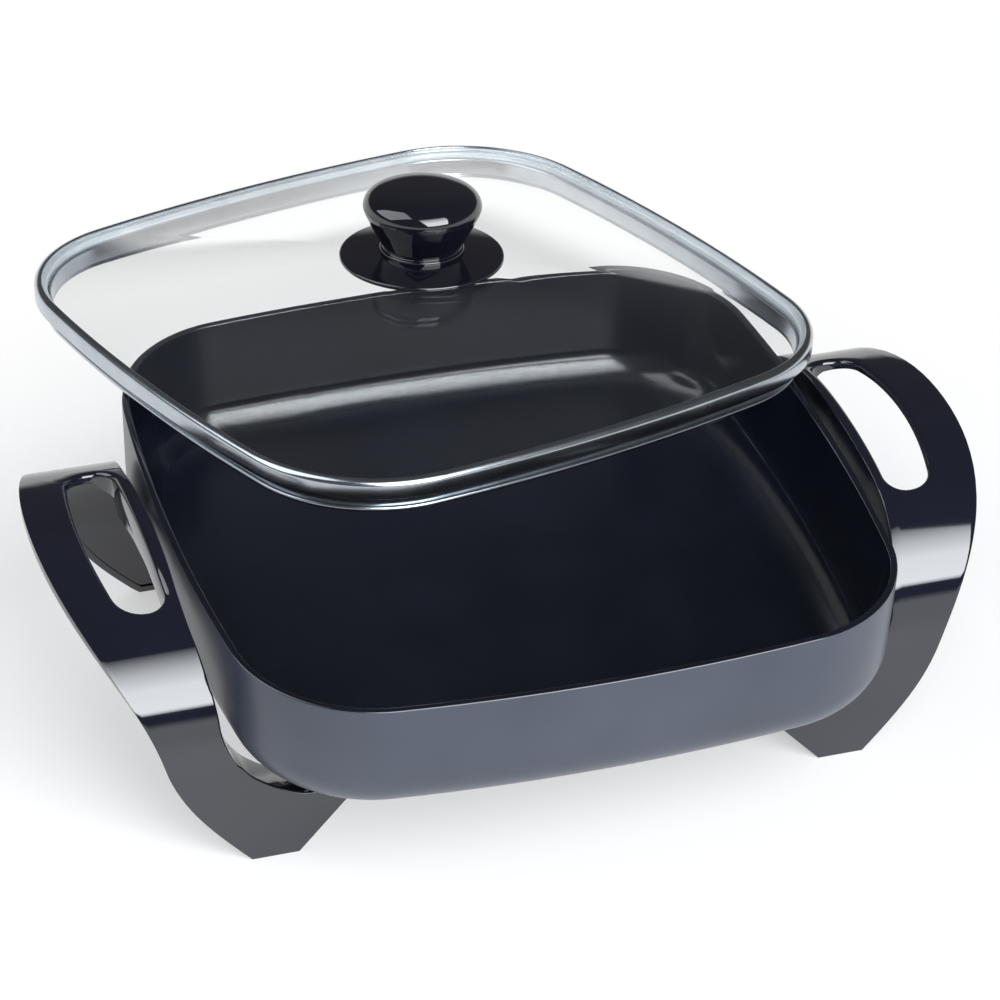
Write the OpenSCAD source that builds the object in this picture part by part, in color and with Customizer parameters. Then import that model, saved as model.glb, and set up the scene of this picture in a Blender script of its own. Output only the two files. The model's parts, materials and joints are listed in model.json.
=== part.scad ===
// Electric skillet: a square cast pan with a non-stick finish, carried by two
// moulded handle legs, and a domed glass lid that lies askew on the pan's rim.
// Millimetres. The origin is on the table at the centre between the feet.
// +X points to the right handle, +Y to the back and +Z up.

/* [Pan] */
// Width of the pan across the middle of its rim
pan_w = 320; // [300:1:345]
// Radius of the pan's upright corners, outside
pan_corner_r = 66; // [56:1:76]
// How far the middle of each side bulges past the ends of its corners
pan_bow = 4.8; // [2:0.2:8]
// Height of the pan's rim above the table
rim_z = 112; // [106:1:120]
// Depth of the pan, outside
pan_depth = 61.5; // [54:0.5:66]
// Thickness of the pan's wall
pan_wall = 3.5; // [2.5:0.1:5]
// Thickness of the pan's floor
floor_t = 4; // [3.5:0.5:6]
// Lean of the outside of the pan's wall from upright, in degrees
pan_draft = 1.9; // [0.5:0.1:4]
// Lean of the inside of the pan's wall from upright, in degrees
inner_lean = 7; // [2:0.1:9]
// Outside radius between the pan's wall and its underside
under_r = 23; // [16:1:26]
// Inside radius between the pan's wall and its floor
floor_r = 20; // [14:1:26]

/* [Lugs and screws] */
// Distance of each screw lug from the middle of the pan, left and right
lug_x = 113; // [108:1:118]
// Distance of each screw lug from the middle of the pan, front and back
lug_y = 82; // [76:1:86]
// Radius of a lug
lug_r = 8; // [6:0.5:9]
// Height of a lug below the pan's underside
lug_h = 4.5; // [3:0.5:6]
// Radius of a handle screw's thread
screw_r = 2.2; // [1.8:0.1:3]
// Radius of a handle screw's head
screw_head_r = 4.6; // [4:0.1:6]
// Height of a handle screw's head
screw_head_h = 3; // [2:0.1:4]
// Radius of a screw washer
washer_r = 6.2; // [5.5:0.1:7]
// Thickness of a screw washer
washer_t = 1.2; // [0.8:0.1:2]

/* [Heating element] */
// Radius of the heating tube
tube_r = 3.6; // [3:0.1:3.8]
// Half width of the tube's loop
loop_half = 94; // [84:1:97]
// Radius of the loop's corners
loop_corner_r = 35; // [25:1:45]
// Distance between the two terminal pins
pin_gap = 38; // [34:1:44]
// Radius of a terminal pin
pin_r = 2.4; // [2:0.1:3]
// Length of a terminal pin
pin_len = 28; // [22:1:32]
// How far the terminal pins stand below the heating tube
pin_drop = 9; // [8:0.5:10]
// Thickness of the cast inlet block, along X
block_t = 34; // [32:1:36]
// Distance of the inlet block's outer face from the middle of the pan
block_x = 140; // [134:1:146]
// Radius of the bore for the thermostat's sensor
sensor_bore_r = 4; // [3.5:0.1:4.5]
// Depth of the bore for the thermostat's sensor
sensor_len = 62; // [50:1:70]
// Wall of the steel sleeve that lines the sensor's bore
sleeve_t = 0.6; // [0.4:0.1:1]

/* [Probe guard] */
// Width of the guard around the terminals
guard_w = 66; // [62:1:74]
// Height of the guard
guard_h = 26; // [22:1:28]
// Depth of the guard, along X
guard_depth = 34; // [28:1:38]
// Wall of the guard
guard_wall = 2.6; // [2:0.1:4]

/* [Handle legs] */
// Height of the grip's top above the table
grip_z = 116; // [114:1:124]
// How far the grip reaches out past the pan's rim
grip_reach = 60.7; // [52:0.1:66]
// Reach of the outer edge at the shoulder
shoulder_reach = 31.4; // [26:0.1:36]
// Reach of the outer edge above the knee
upper_knee_reach = 26.7; // [22:0.1:32]
// Reach of the outer edge at the knee
knee_reach = 23; // [18:0.1:28]
// Distance between the outside faces of the front and the back foot
foot_spread = 210.4; // [200:0.2:220]
// How far the knee stands in from the foot's face
knee_in = 6.6; // [3:0.1:10]
// Height of the knee above the table
knee_z = 48; // [46:0.5:50]
// Pull of the curve at the grip's middle
shoulder_pull = 104; // [95:1:110]
// Pull of the curve at the knee
knee_pull = 13; // [8:0.5:20]
// How far the leg's outer edge is pulled in below the knee
leg_pull_in = 6.6; // [3:0.2:10]
// How far the leg's outer edge is pulled down below the knee
leg_pull_down = 17; // [13:0.5:20]
// Pull of the leg's outer edge at the foot, which it meets at 45 degrees
foot_pull = 19.4; // [16:0.2:22]
// Thickness of the handle's shell
shell_t = 3; // [2.5:0.1:4]
// Depth of the turned-in edge of the shell
lip_d = 9; // [7:0.5:11]
// Thickness of the turned-in edge
lip_t = 3.5; // [3:0.1:4.5]
// Gap between the handle and the pan's wall
pan_gap = 4.5; // [3:0.1:6]
// Distance of the foot's inner corner from the middle of the pan
foot_in = 125.2; // [120:0.2:130]
// Width of the foot
foot_w = 21.8; // [18:0.2:26]
// Distance of the leg's inner end from the middle of the pan
leg_in = 98; // [96:0.5:100]
// Height at which the leg's inner end starts
leg_in_z = 29; // [24:0.5:34]
// Height of the screw tower under the pan
tower_h = 12; // [9:0.5:16]
// Radius of the screw tower
tower_r = 9; // [8:0.5:11]
// How far the web beside the tower reaches out past the screw
web_reach = 21.6; // [18:0.2:24]
// Thickness of that web
web_t = 4; // [3:0.5:6]
// Depth of the gussets under the web
gusset_h = 24; // [16:1:28]

/* [Finger slot] */
// Distance of the slot's inner edge from the pan's rim
slot_in = 12; // [11:0.1:14]
// Width of the slot at its middle
slot_w = 26.7; // [20:0.1:30]
// Length of the slot
slot_len = 107.2; // [90:0.2:115]
// Radius of the slot's outer edge
slot_edge_r = 230; // [180:5:300]
// Radius of the slot's outer corners
slot_outer_corner = 13; // [8:0.5:15]
// Radius of the slot's inner corners
slot_inner_corner = 9; // [6:0.5:11]
// Wall around the slot
slot_wall = 4; // [3.7:0.1:5]

/* [Lid] */
// How far the lid's edge stands out past the pan's edge when it is closed
lid_over = -0.5; // [-1.5:0.1:2]
// Radius of the lid's corners
lid_corner_r = 71; // [66:1:80]
// How far the middle of each side of the lid bulges
lid_bow = 4.4; // [2:0.2:8]
// Thickness of the steel rim
steel_t = 1.1; // [0.8:0.1:1.5]
// Height of the rim above its widest line
rim_up = 6.9; // [6:0.1:9]
// Depth of the lip below the rim's widest line
lip_down = 11.9; // [9:0.1:14]
// Distance of the lip in from the rim's edge
lip_in = 7.4; // [6.6:0.1:9]
// Thickness of the glass
glass_t = 4; // [3:0.1:5]
// Rise of the glass from its edge to its middle
glass_rise = 25.1; // [12:0.1:30]
// Exponent of the glass dome's fall towards its edge
dome_power = 1.5; // [1.3:0.1:2.5]

/* [Knob] */
// Radius of the skirt under the knob
skirt_r = 39.6; // [34:0.1:46]
// Thickness of the skirt's edge
skirt_t = 2.2; // [1.6:0.1:3.5]
// Largest radius of the knob
knob_r = 28.5; // [24:0.1:34]
// Height of the knob above the skirt
knob_h = 32.7; // [26:0.1:40]
// Radius of the knob's neck
neck_r = 16.5; // [14:0.1:19]
// Radius of the knob's foot
knob_foot_r = 20.5; // [18:0.1:24]
// Radius of the brass insert in the knob
insert_r = 5; // [4:0.1:6]
// Length of the brass insert
insert_len = 14; // [10:1:18]
// Radius of the knob screw's thread
knob_screw_r = 2.5; // [2:0.1:3]
// Radius of the knob's washer and seals
seal_r = 12; // [10:0.5:14]
// Thickness of each seal
seal_t = 1.2; // [0.8:0.1:2]

/* [Lid at rest] */
// Distance of the lid's middle to the right of the pan's middle
lid_dx = 1.4; // [0:0.1:3]
// Distance of the lid's middle behind the pan's middle
lid_dy = 131.2; // [129:0.1:133]
// Gap between the lid's lip and the pan's rim where they cross
lid_gap = 0.3; // [0.3:0.1:2]
// Turn of the lid about the upright axis, in degrees
lid_turn = 16.5; // [15.5:0.1:17.5]
// Tip of the lid down towards the back, in degrees
lid_tip = 6.5; // [6.2:0.1:6.8]
// Tip of the lid down towards the right, in degrees
lid_roll = 3.5; // [3.3:0.1:3.7]

/* [Hidden] */

// A small running clearance
fit = 0.05;
// Gap around a screw in the piece that it holds down
screw_gap = 0.4;
// How far a cut runs past the face that it opens
past = 1;
// Larger than the whole object
far = 600;

pan_half = pan_w / 2;
under_z = rim_z - pan_depth;
floor_z = under_z + floor_t;
lug_z = under_z - lug_h;
element_z = under_z - 0.9 * tube_r;
ridge_z = element_z - 0.1 * tube_r;
ridge_w = 4 * tube_r;
// Radius of the bends between the loop and its tails
tail_r = 10;
// How far the tails stop short of the inlet block's outer face
pin_root_len = 2;
tail_end = block_x - pin_root_len;
pin_z = element_z - pin_drop;
// The tails drop to the pins in two quarter bends of this radius
drop_r = pin_drop / 2;
sleeve_r = sensor_bore_r + sleeve_t;
boss_wall = 3;
boss_r = sleeve_r + boss_wall;
// How far the inlet block reaches below the boss
block_below = 1.4;
block_z = pin_z - boss_r - block_below;

foot_y = foot_spread / 2;
knee_y = foot_y - knee_in;
lean = atan2(knee_in, knee_z);
leg_len = norm([knee_in, knee_z]);
arch_steps = 20;
edge_steps = 8;
round_steps = 9;
side_steps = 6;
corner_steps = 10;

lid_half = pan_half + lid_over;
// Room between the glass and the steel, at its edge and over it
edge_room = 0.5;
top_room = 0.25;
glass_edge = steel_t + edge_room;
glass_top = rim_up - steel_t - top_room;
crown_z = glass_top + glass_rise;
knob_z = crown_z + skirt_t;

// --- Curves -------------------------------------------------------------

// Point of a cubic curve with the control points p, at t from 0 to 1
function cubic(p, t) = pow(1 - t, 3) * p[0] + 3 * pow(1 - t, 2) * t * p[1]
    + 3 * (1 - t) * t * t * p[2] + pow(t, 3) * p[3];

// Direction of that curve, of length 1
function cubic_dir(p, t) =
    let (d = pow(1 - t, 2) * (p[1] - p[0]) + 2 * (1 - t) * t * (p[2] - p[1])
        + t * t * (p[3] - p[2]))
    d / norm(d);

// Value of a quartic curve with five control values, at t from 0 to 1
function quartic(v, t) = pow(1 - t, 4) * v[0] + 4 * pow(1 - t, 3) * t * v[1]
    + 6 * pow(1 - t, 2) * t * t * v[2] + 4 * (1 - t) * pow(t, 3) * v[3] + pow(t, 4) * v[4];

// Points of an arc about c, from angle a to angle b
function arc(c, r, a, b, n) =
    [for (i = [0:n]) c + r * [cos(a + (b - a) * i / n), sin(a + (b - a) * i / n)]];

// --- Square outline with round corners and bulging sides -----------------
// Every side is an arc about a point far behind it, and the corner arcs meet
// the side arcs in one direction.

function side_r(half, r, bow) = (pow(half - r, 2) + bow * bow) / (2 * bow);
function side_back(half, r, bow) = side_r(half, r, bow) - half;
function corner_at(half, r, bow) =
    let (d = side_back(half, r, bow), e = side_r(half, r, bow) - r)
    (sqrt(2 * e * e - d * d) - d) / 2;
function side_turn(half, r, bow) =
    let (k = corner_at(half, r, bow)) atan2(k, k + side_back(half, r, bow));

// Spots along a quarter of the outline: [centre, direction, radius]
function quarter(half, r, bow) =
    let (k = corner_at(half, r, bow), back = side_back(half, r, bow),
        turn = side_turn(half, r, bow), bend = 90 - 2 * turn)
    concat(
        [for (i = [0:side_steps - 1]) let (a = turn * (2 * i / side_steps - 1))
            [[-back, 0], [cos(a), sin(a)], back + half]],
        [for (i = [0:corner_steps - 1]) let (a = turn + bend * i / corner_steps)
            [[k, k], [cos(a), sin(a)], r]]);

function turned(p, a) = [p[0] * cos(a) - p[1] * sin(a), p[0] * sin(a) + p[1] * cos(a)];

// The outline's points, moved in by a distance
function outline(half, r, bow, inset) =
    [for (q = [0:3]) for (s = quarter(half, r, bow))
        turned(s[0] + (s[2] - inset) * s[1], 90 * q)];

// Sweeps a section around the outline. Its points are [minus the distance in
// from the outline, height], upwards on the outside. A closed section makes a
// ring, and an open one is capped where it starts and where it ends.
module swept(half, r, bow, section, closed) {
    n = len(section);
    m = 4 * (side_steps + corner_steps);
    points = [for (p = section) for (q = outline(half, r, bow, -p[0])) [q[0], q[1], p[1]]];
    sides = [for (i = [0:n - (closed ? 1 : 2)]) for (j = [0:m - 1])
        let (a = i * m, b = (i + 1) % n * m, next = (j + 1) % m)
        [a + j, b + j, b + next, a + next]];
    caps = closed ? [] : [[for (j = [0:m - 1]) j], [for (j = [m - 1:-1:0]) (n - 1) * m + j]];
    polyhedron(points, concat(sides, caps), convexity = 8);
}

// --- Pan ------------------------------------------------------------------

// Distance in from the rim of the wall's foot, where the lower round starts
function round_in(z_low, r, wall, tilt) =
    let (z = z_low + r - r * sin(tilt)) wall + (rim_z - z) * tan(tilt) + r * cos(tilt);

// The outer round and wall, the rim, and the inner wall and round
pan_section = let (outer = round_in(under_z, under_r, 0, pan_draft),
    inner = round_in(floor_z, floor_r, pan_wall, inner_lean))
    concat(arc([-outer, under_z + under_r], under_r, -90, -pan_draft, round_steps),
        [[0, rim_z], [-pan_wall, rim_z]],
        arc([-inner, floor_z + floor_r], floor_r, -inner_lean, -90, round_steps));

// Runs a section along the heating tube's loop and the bend of each tail. In
// the section, x is across the tube and y is the height.
module along_loop() {
    bend = loop_half - loop_corner_r;
    for (q = [1:3]) rotate([0, 0, 90 * q])
        translate([loop_half, bend, 0]) rotate([90, 0, 0])
        linear_extrude(2 * bend) children();
    for (q = [0:3]) rotate([0, 0, 90 * q])
        translate([bend, bend, 0]) rotate_extrude(angle = 90, $fn = 96)
        translate([loop_corner_r, 0]) children();
    for (s = [0, 1]) mirror([0, s, 0]) {
        translate([loop_half, bend, 0]) rotate([90, 0, 0])
            linear_extrude(bend - pin_gap / 2 - tail_r) children();
        translate([loop_half + tail_r, pin_gap / 2 + tail_r, 0]) rotate([0, 0, 180])
            rotate_extrude(angle = 90, $fn = 64) translate([tail_r, 0]) children();
    }
}

// A round bar from the loop's bends down to the height of the pins and on to x = end
module tail(r, end) {
    start = loop_half + tail_r;
    foot = start + 2 * drop_r;
    translate([start, 0, element_z - drop_r]) rotate([90, 0, 0])
        rotate_extrude(angle = 90, $fn = 64) translate([drop_r, 0]) circle(r = r, $fn = 48);
    translate([foot, 0, pin_z + drop_r]) rotate([90, 0, 0]) rotate([0, 0, 180])
        rotate_extrude(angle = 90, $fn = 64) translate([drop_r, 0]) circle(r = r, $fn = 48);
    along_x(foot, 0, pin_z) cylinder(r = r, h = end - foot, $fn = 48);
}

// The whole heating tube: its loop and both tails
module tube(end) {
    along_loop() translate([0, element_z]) circle(r = tube_r, $fn = 48);
    for (s = [-1, 1]) translate([0, s * pin_gap / 2, 0]) tail(tube_r, end);
}

module at_lugs(side) {
    for (s = [-1, 1]) translate([side * lug_x, s * lug_y, 0]) children();
}

module inlet_block() {
    translate([block_x - block_t, -guard_w / 2, block_z])
        cube([block_t, guard_w, under_z - block_z + past]);
    // Boss around the inner end of the sensor's bore, and its web to the pan
    along_x(block_x - sensor_len - boss_wall, 0, pin_z)
        cylinder(r = boss_r, h = sensor_len, $fn = 64);
    translate([block_x - sensor_len - boss_wall, -boss_r, pin_z])
        cube([sensor_len, 2 * boss_r, under_z - pin_z + past]);
}

module along_x(x, y, z) {
    translate([x, y, z]) rotate([0, 90, 0]) children();
}

module pan() {
    color([0.09, 0.1, 0.13]) difference() {
        union() {
            swept(pan_half, pan_corner_r, pan_bow, pan_section, false);
            for (side = [-1, 1]) at_lugs(side) translate([0, 0, lug_z])
                cylinder(r = lug_r, h = lug_h + past, $fn = 64);
            along_loop() translate([-ridge_w / 2, ridge_z])
                square([ridge_w, under_z - ridge_z + past]);
            inlet_block();
        }
        for (side = [-1, 1]) at_lugs(side) translate([0, 0, lug_z - past])
            cylinder(r = screw_r + fit, h = lug_h + floor_t / 2 + past, $fn = 48);
        tube(block_x + past);
        along_x(block_x - sensor_len, 0, pin_z)
            cylinder(r = sleeve_r, h = sensor_len + past, $fn = 48);
        for (s = [-1, 1])
            along_x(block_x - guard_screw_len, s * guard_screw_y, guard_screw_z)
                cylinder(r = guard_screw_r + fit, h = guard_screw_len + past, $fn = 48);
    }
}

// --- Element, sensor sleeve and guard --------------------------------------

guard_x = block_x;
guard_gap = 0.4;
guard_top = under_z - guard_gap;
guard_screw_r = 1.9;
guard_screw_len = 10;
// Place of each guard screw, in from the guard's side and up from the block's foot
guard_screw_in = 6.8;
guard_screw_up = 4.3;
guard_screw_y = guard_w / 2 - guard_screw_in;
guard_screw_z = block_z + guard_screw_up;
guard_head_r = 3.4;
guard_head_h = 2.2;
insulator_r = 4.4;
// How far the insulators and the sleeve stand out of the guard's wall
collar = 2;
sleeve_out = 3;
// How much thicker a pin is inside its insulator
root_step = 0.5;
pin_root_r = pin_r + root_step;

module heating_element() {
    color([0.55, 0.55, 0.53]) tube(tail_end);
}

module terminal_pins() {
    root_len = guard_x - tail_end + guard_wall + collar;
    color([0.8, 0.8, 0.78]) for (s = [-1, 1]) {
        along_x(tail_end, s * pin_gap / 2, pin_z)
            cylinder(r = pin_root_r, h = root_len, $fn = 48);
        along_x(tail_end + root_len, s * pin_gap / 2, pin_z)
            cylinder(r = pin_r, h = pin_len - root_len, $fn = 48);
    }
}

module pin_insulators() {
    color([0.93, 0.91, 0.86]) for (s = [-1, 1]) difference() {
        union() {
            along_x(guard_x, s * pin_gap / 2, pin_z)
                cylinder(r = insulator_r, h = guard_wall + collar, $fn = 48);
            along_x(tail_end, s * pin_gap / 2, pin_z)
                cylinder(r = tube_r - fit, h = guard_x - tail_end + past, $fn = 48);
        }
        along_x(tail_end - past, s * pin_gap / 2, pin_z)
            cylinder(r = pin_root_r + fit, h = pin_len, $fn = 48);
    }
}

module sensor_sleeve() {
    color([0.7, 0.7, 0.7]) difference() {
        along_x(block_x - sensor_len, 0, pin_z)
            cylinder(r = sleeve_r, h = sensor_len + guard_wall + sleeve_out, $fn = 48);
        along_x(block_x - sensor_len + sleeve_t, 0, pin_z)
            cylinder(r = sensor_bore_r, h = sensor_len + guard_wall + sleeve_out, $fn = 48);
    }
}

module probe_guard() {
    color([0.06, 0.06, 0.07]) difference() {
        translate([guard_x, -guard_w / 2, guard_top - guard_h])
            cube([guard_depth, guard_w, guard_h]);
        translate([guard_x + guard_wall, -guard_w / 2 + guard_wall,
            guard_top - guard_h + guard_wall])
            cube([guard_depth, guard_w - 2 * guard_wall, guard_h - 2 * guard_wall]);
        for (s = [-1, 1]) {
            along_x(guard_x - past, s * pin_gap / 2, pin_z)
                cylinder(r = insulator_r + fit, h = guard_wall + 2 * past, $fn = 48);
            along_x(guard_x - past, s * guard_screw_y, guard_screw_z)
                cylinder(r = guard_screw_r + screw_gap, h = guard_wall + 2 * past, $fn = 48);
        }
        along_x(guard_x - past, 0, pin_z)
            cylinder(r = sleeve_r + fit, h = guard_wall + 2 * past, $fn = 48);
    }
}

module guard_screws() {
    color([0.75, 0.75, 0.74]) for (s = [-1, 1]) {
        along_x(guard_x + guard_wall, s * guard_screw_y, guard_screw_z)
            cylinder(r = guard_head_r, h = guard_head_h, $fn = 48);
        along_x(guard_x - guard_screw_len + past, s * guard_screw_y, guard_screw_z)
            cylinder(r = guard_screw_r, h = guard_screw_len + guard_wall, $fn = 48);
    }
}

// --- Handle legs -------------------------------------------------------------
// The grip is an arch seen from the side, from knee to knee. Its cross-section
// is a flat channel whose edges are turned in, and its outer edge swings out
// over the grip. Below the knees stand straight legs.

knee = [knee_y, knee_z];
up_leg = [-sin(lean), cos(lean)];
arch_curve = [[0, grip_z], [shoulder_pull, grip_z], knee + knee_pull * up_leg, knee];
reaches = [grip_reach, grip_reach, shoulder_reach, upper_knee_reach, knee_reach];

function arch_point(t) = cubic(arch_curve, t);
function arch_in(t) = let (d = cubic_dir(arch_curve, t)) [d[1], -d[0]];

// How far the face that clears the pan stands out from the rim's outline
function clear_out(z) =
    let (zc = under_z + under_r, in = round_in(under_z, under_r, 0, pan_draft),
        r = under_r + pan_gap)
    z > zc - r * sin(pan_draft)
        ? (z - rim_z) * tan(pan_draft) + pan_gap / cos(pan_draft)
        : sqrt(max(0, r * r - pow(zc - z, 2))) - in;

// X of that face at a distance y from the middle and a height z
function clear_x(y, z) =
    let (k = corner_at(pan_half, pan_corner_r, pan_bow), out = clear_out(z),
        back = side_back(pan_half, pan_corner_r, pan_bow))
    y < k ? sqrt(pow(back + pan_half + out, 2) - y * y) - back
        : k + sqrt(pow(pan_corner_r + out, 2) - pow(y - k, 2));

// The arch's stations: [distance along Y, height, inward Y, inward Z, inner X, outer X]
function station(t, side) =
    let (p = arch_point(t), n = arch_in(t))
    [side * p[0], p[1], side * n[0], n[1], clear_x(p[0], p[1]),
        pan_half + quartic(reaches, t)];

// One more station just below the knee joins the arch to the leg
knee_lap = 1.5;
function below_knee(side) =
    let (p = knee - knee_lap * up_leg, n = arch_in(1), at_knee = station(1, side))
    [side * p[0], p[1], side * n[0], n[1], at_knee[4],
        at_knee[5] - knee_lap * leg_pull_in / leg_pull_down];

stations = concat([below_knee(-1)],
    [for (i = [arch_steps:-1:1]) station(i / arch_steps, -1)],
    [for (i = [0:arch_steps]) station(i / arch_steps, 1)],
    [below_knee(1)]);

function channel(s) = let (xi = s[4], xo = s[5])
    [for (c = [[xi, 0], [xo, 0], [xo, lip_d], [xo - lip_t, lip_d], [xo - lip_t, shell_t],
            [xi + lip_t, shell_t], [xi + lip_t, lip_d], [xi, lip_d]])
        [c[0], s[0] + s[2] * c[1], s[1] + s[3] * c[1]]];

module arch_channel() {
    m = 8;
    last = len(stations) - 1;
    points = [for (s = stations) for (p = channel(s)) p];
    sides = [for (i = [0:last - 1]) for (j = [0:m - 1])
        for (f = [[i * m + j, (i + 1) * m + j, (i + 1) * m + (j + 1) % m],
                [i * m + j, (i + 1) * m + (j + 1) % m, i * m + (j + 1) % m]]) f];
    // Both ends are closed by the three bars of the channel
    bars = [[0, 1, 4, 5], [1, 2, 3, 4], [5, 6, 7, 0]];
    start = [for (b = bars) b];
    end = [for (b = bars) [for (j = [3:-1:0]) last * m + b[j]]];
    polyhedron(points, concat(sides, start, end), convexity = 8);
}

// A solid band under the arch's outer face, from one depth to another
module arch_band(top, bottom) {
    outer = [for (s = stations) [s[0] + s[2] * top, s[1] + s[3] * top]];
    inner = [for (i = [len(stations) - 1:-1:0]) let (s = stations[i])
        [s[0] + s[2] * bottom, s[1] + s[3] * bottom]];
    translate([pan_half, 0, 0]) rotate([90, 0, 90]) linear_extrude(grip_reach)
        polygon(concat(outer, inner));
}

slot_low = pan_half + slot_in;
slot_high = slot_low + slot_w;

// Half of the finger slot's outline for y above 0, grown by g all round
function slot_half(g) =
    let (c = [slot_high - slot_edge_r, 0], end = slot_len / 2,
        yo = end - slot_outer_corner, e = slot_edge_r - slot_outer_corner,
        xo = c[0] + sqrt(e * e - yo * yo), swing = asin(yo / e),
        inner = [slot_low + slot_inner_corner, end - slot_inner_corner])
    concat(arc(c, slot_edge_r + g, 0, swing, 8),
        arc([xo, yo], slot_outer_corner + g, swing, 90, 8),
        arc(inner, slot_inner_corner + g, 90, 180, 6));

module slot_shape(g) {
    half = slot_half(g);
    flipped = [for (i = [len(half) - 1:-1:1]) [half[i][0], -half[i][1]]];
    polygon(concat(half, flipped));
}

// The leg is thinner than the arch by this much all round where they join
seam = 0.1;

// Outer edge of the leg below the knee, in the leg's own plane: x, and the
// distance up the leg from the table
leg_edge = [[pan_half + knee_reach, leg_len],
    [pan_half + knee_reach - leg_pull_in, leg_len - leg_pull_down],
    [foot_in + foot_w + foot_pull, foot_pull], [foot_in + foot_w, 0]];

function leg_outer(inset) =
    [for (i = [0:edge_steps]) let (t = i / edge_steps, d = cubic_dir(leg_edge, t))
        cubic(leg_edge, t) + (inset + seam) * [d[1], -d[0]]];

// Top edge of the leg under the pan, which follows the pan's lower round. Its
// points lie closest together where the round starts.
leg_top_z = under_z - pan_gap;
top_steps = 4;
function leg_top(inset) =
    [for (i = [0:top_steps])
        let (z = leg_top_z + (knee_z - leg_top_z) * pow(i / top_steps, 2),
            y = knee_y + knee_in * (1 - z / knee_z))
        [clear_x(y, z) + inset + seam, z / cos(lean) - inset - seam]];

module leg_plate() {
    polygon(concat(leg_outer(0), [[foot_in, 0], [leg_in, leg_in_z], [leg_in, leg_top(0)[0][1]]],
        leg_top(0)));
}

module leg_pocket() {
    slope = (foot_in - leg_in) / leg_in_z;
    side = lip_t * sqrt(1 + slope * slope);
    polygon(concat(leg_outer(lip_t - 2 * seam),
        [[foot_in + foot_w - lip_t, lip_t], [foot_in - slope * lip_t + side, lip_t],
            [leg_in + lip_t, leg_in_z + (side - lip_t) / slope],
            [leg_in + lip_t, leg_top(lip_t - 2 * seam)[0][1]]],
        leg_top(lip_t - 2 * seam)));
}

// The back leg, which leans towards the knee
module leg() {
    translate([0, foot_y, 0]) rotate([90 + lean, 0, 0]) difference() {
        translate([0, 0, seam]) linear_extrude(lip_d - 2 * seam) leg_plate();
        translate([0, 0, shell_t - seam]) linear_extrude(lip_d) intersection() {
            leg_pocket();
            translate([0, lip_t]) square([far, far]);
        }
    }
}

// Screw tower, its web to the leg and two gussets under the web
module tower() {
    gusset_t = 2.5;
    web_in = leg_in + past;
    web_end = lug_x + web_reach;
    // The web and the gussets end inside the leg's plate
    root = knee_y - shell_t / 6;
    translate([lug_x, lug_y, lug_z - tower_h]) cylinder(r = tower_r, h = tower_h, $fn = 64);
    translate([web_in, lug_y - tower_r, lug_z - web_t])
        cube([web_end - web_in, root - lug_y + tower_r, web_t]);
    for (x = [lug_x + tower_r - gusset_t, web_end - gusset_t])
        translate([x, 0, 0]) rotate([90, 0, 90]) linear_extrude(gusset_t)
            polygon([[root, lug_z - web_t / 2], [lug_y - tower_r + web_t / 2, lug_z - web_t / 2],
                [root, lug_z - gusset_h]]);
}

module handle() {
    difference() {
        union() {
            arch_channel();
            intersection() {
                arch_band(shell_t / 3, lip_d);
                linear_extrude(far) slot_shape(slot_wall);
            }
            for (s = [0, 1]) mirror([0, s, 0]) {
                leg();
                tower();
            }
        }
        translate([0, 0, grip_z / 2]) linear_extrude(far) slot_shape(0);
        for (s = [-1, 1]) translate([lug_x, s * lug_y, lug_z - tower_h - past])
            cylinder(r = screw_r + screw_gap, h = tower_h + 2 * past, $fn = 48);
        // The soles are flat on the table
        translate([0, -far / 2, -far]) cube([far, far, far]);
    }
}

module right_handle() {
    color([0.03, 0.03, 0.04]) handle();
}

module left_handle() {
    color([0.03, 0.03, 0.04]) mirror([1, 0, 0]) handle();
}

washer_z = lug_z - tower_h - washer_t;

// A screw's head above the height 0, with a cross recess in its lower face
module screw_head(r, h) {
    slot_width = 1;
    difference() {
        cylinder(r = r, h = h, $fn = 48);
        for (a = [0, 90]) rotate([0, 0, a]) translate([-slot_width / 2, -r / 2, -past])
            cube([slot_width, r, past + h / 2]);
    }
}

module handle_screws(side) {
    color([0.75, 0.75, 0.74]) at_lugs(side) {
        translate([0, 0, washer_z - screw_head_h]) screw_head(screw_head_r, screw_head_h);
        translate([0, 0, washer_z])
            cylinder(r = screw_r, h = lug_z - washer_z + lug_h + floor_t / 4, $fn = 48);
    }
}

module handle_washers(side) {
    color([0.8, 0.8, 0.8]) at_lugs(side) translate([0, 0, washer_z]) difference() {
        cylinder(r = washer_r, h = washer_t, $fn = 48);
        translate([0, 0, -past]) cylinder(r = screw_r + 2 * fit, h = washer_t + 2 * past, $fn = 48);
    }
}

module right_handle_screws() { handle_screws(1); }
module left_handle_screws() { handle_screws(-1); }
module right_handle_washers() { handle_washers(1); }
module left_handle_washers() { handle_washers(-1); }

// --- Lid -----------------------------------------------------------------------
// The lid's own frame has its origin at the middle of the rim's widest line.

lid_normal = let (x = cos(lid_tip) * sin(lid_roll), y = sin(lid_tip),
    flat = turned([x, y], lid_turn)) [flat[0], flat[1], cos(lid_tip) * cos(lid_roll)];

// Where the lip crosses the pan's rim on each side: how far in from the rim's
// widest line, and how far in front of the lid's middle
left_crossing = [9.4, 17.7];
right_crossing = [1, 89.9];

// The same two places, seen from above from the lid's middle
crossings = [[-pan_half + left_crossing[0] - lid_dx, -left_crossing[1]],
    [pan_half - right_crossing[0] - lid_dx, -right_crossing[1]]];

// Height of the lip's lower edge above the lid's middle at such a place
function lip_rise(p) = let (n = lid_normal, q = p + lip_down * [n[0], n[1]])
    -(n[0] * q[0] + n[1] * q[1]) / n[2] - lip_down * n[2];

lid_z = rim_z + lid_gap - min([for (p = crossings) lip_rise(p)]);

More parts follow.
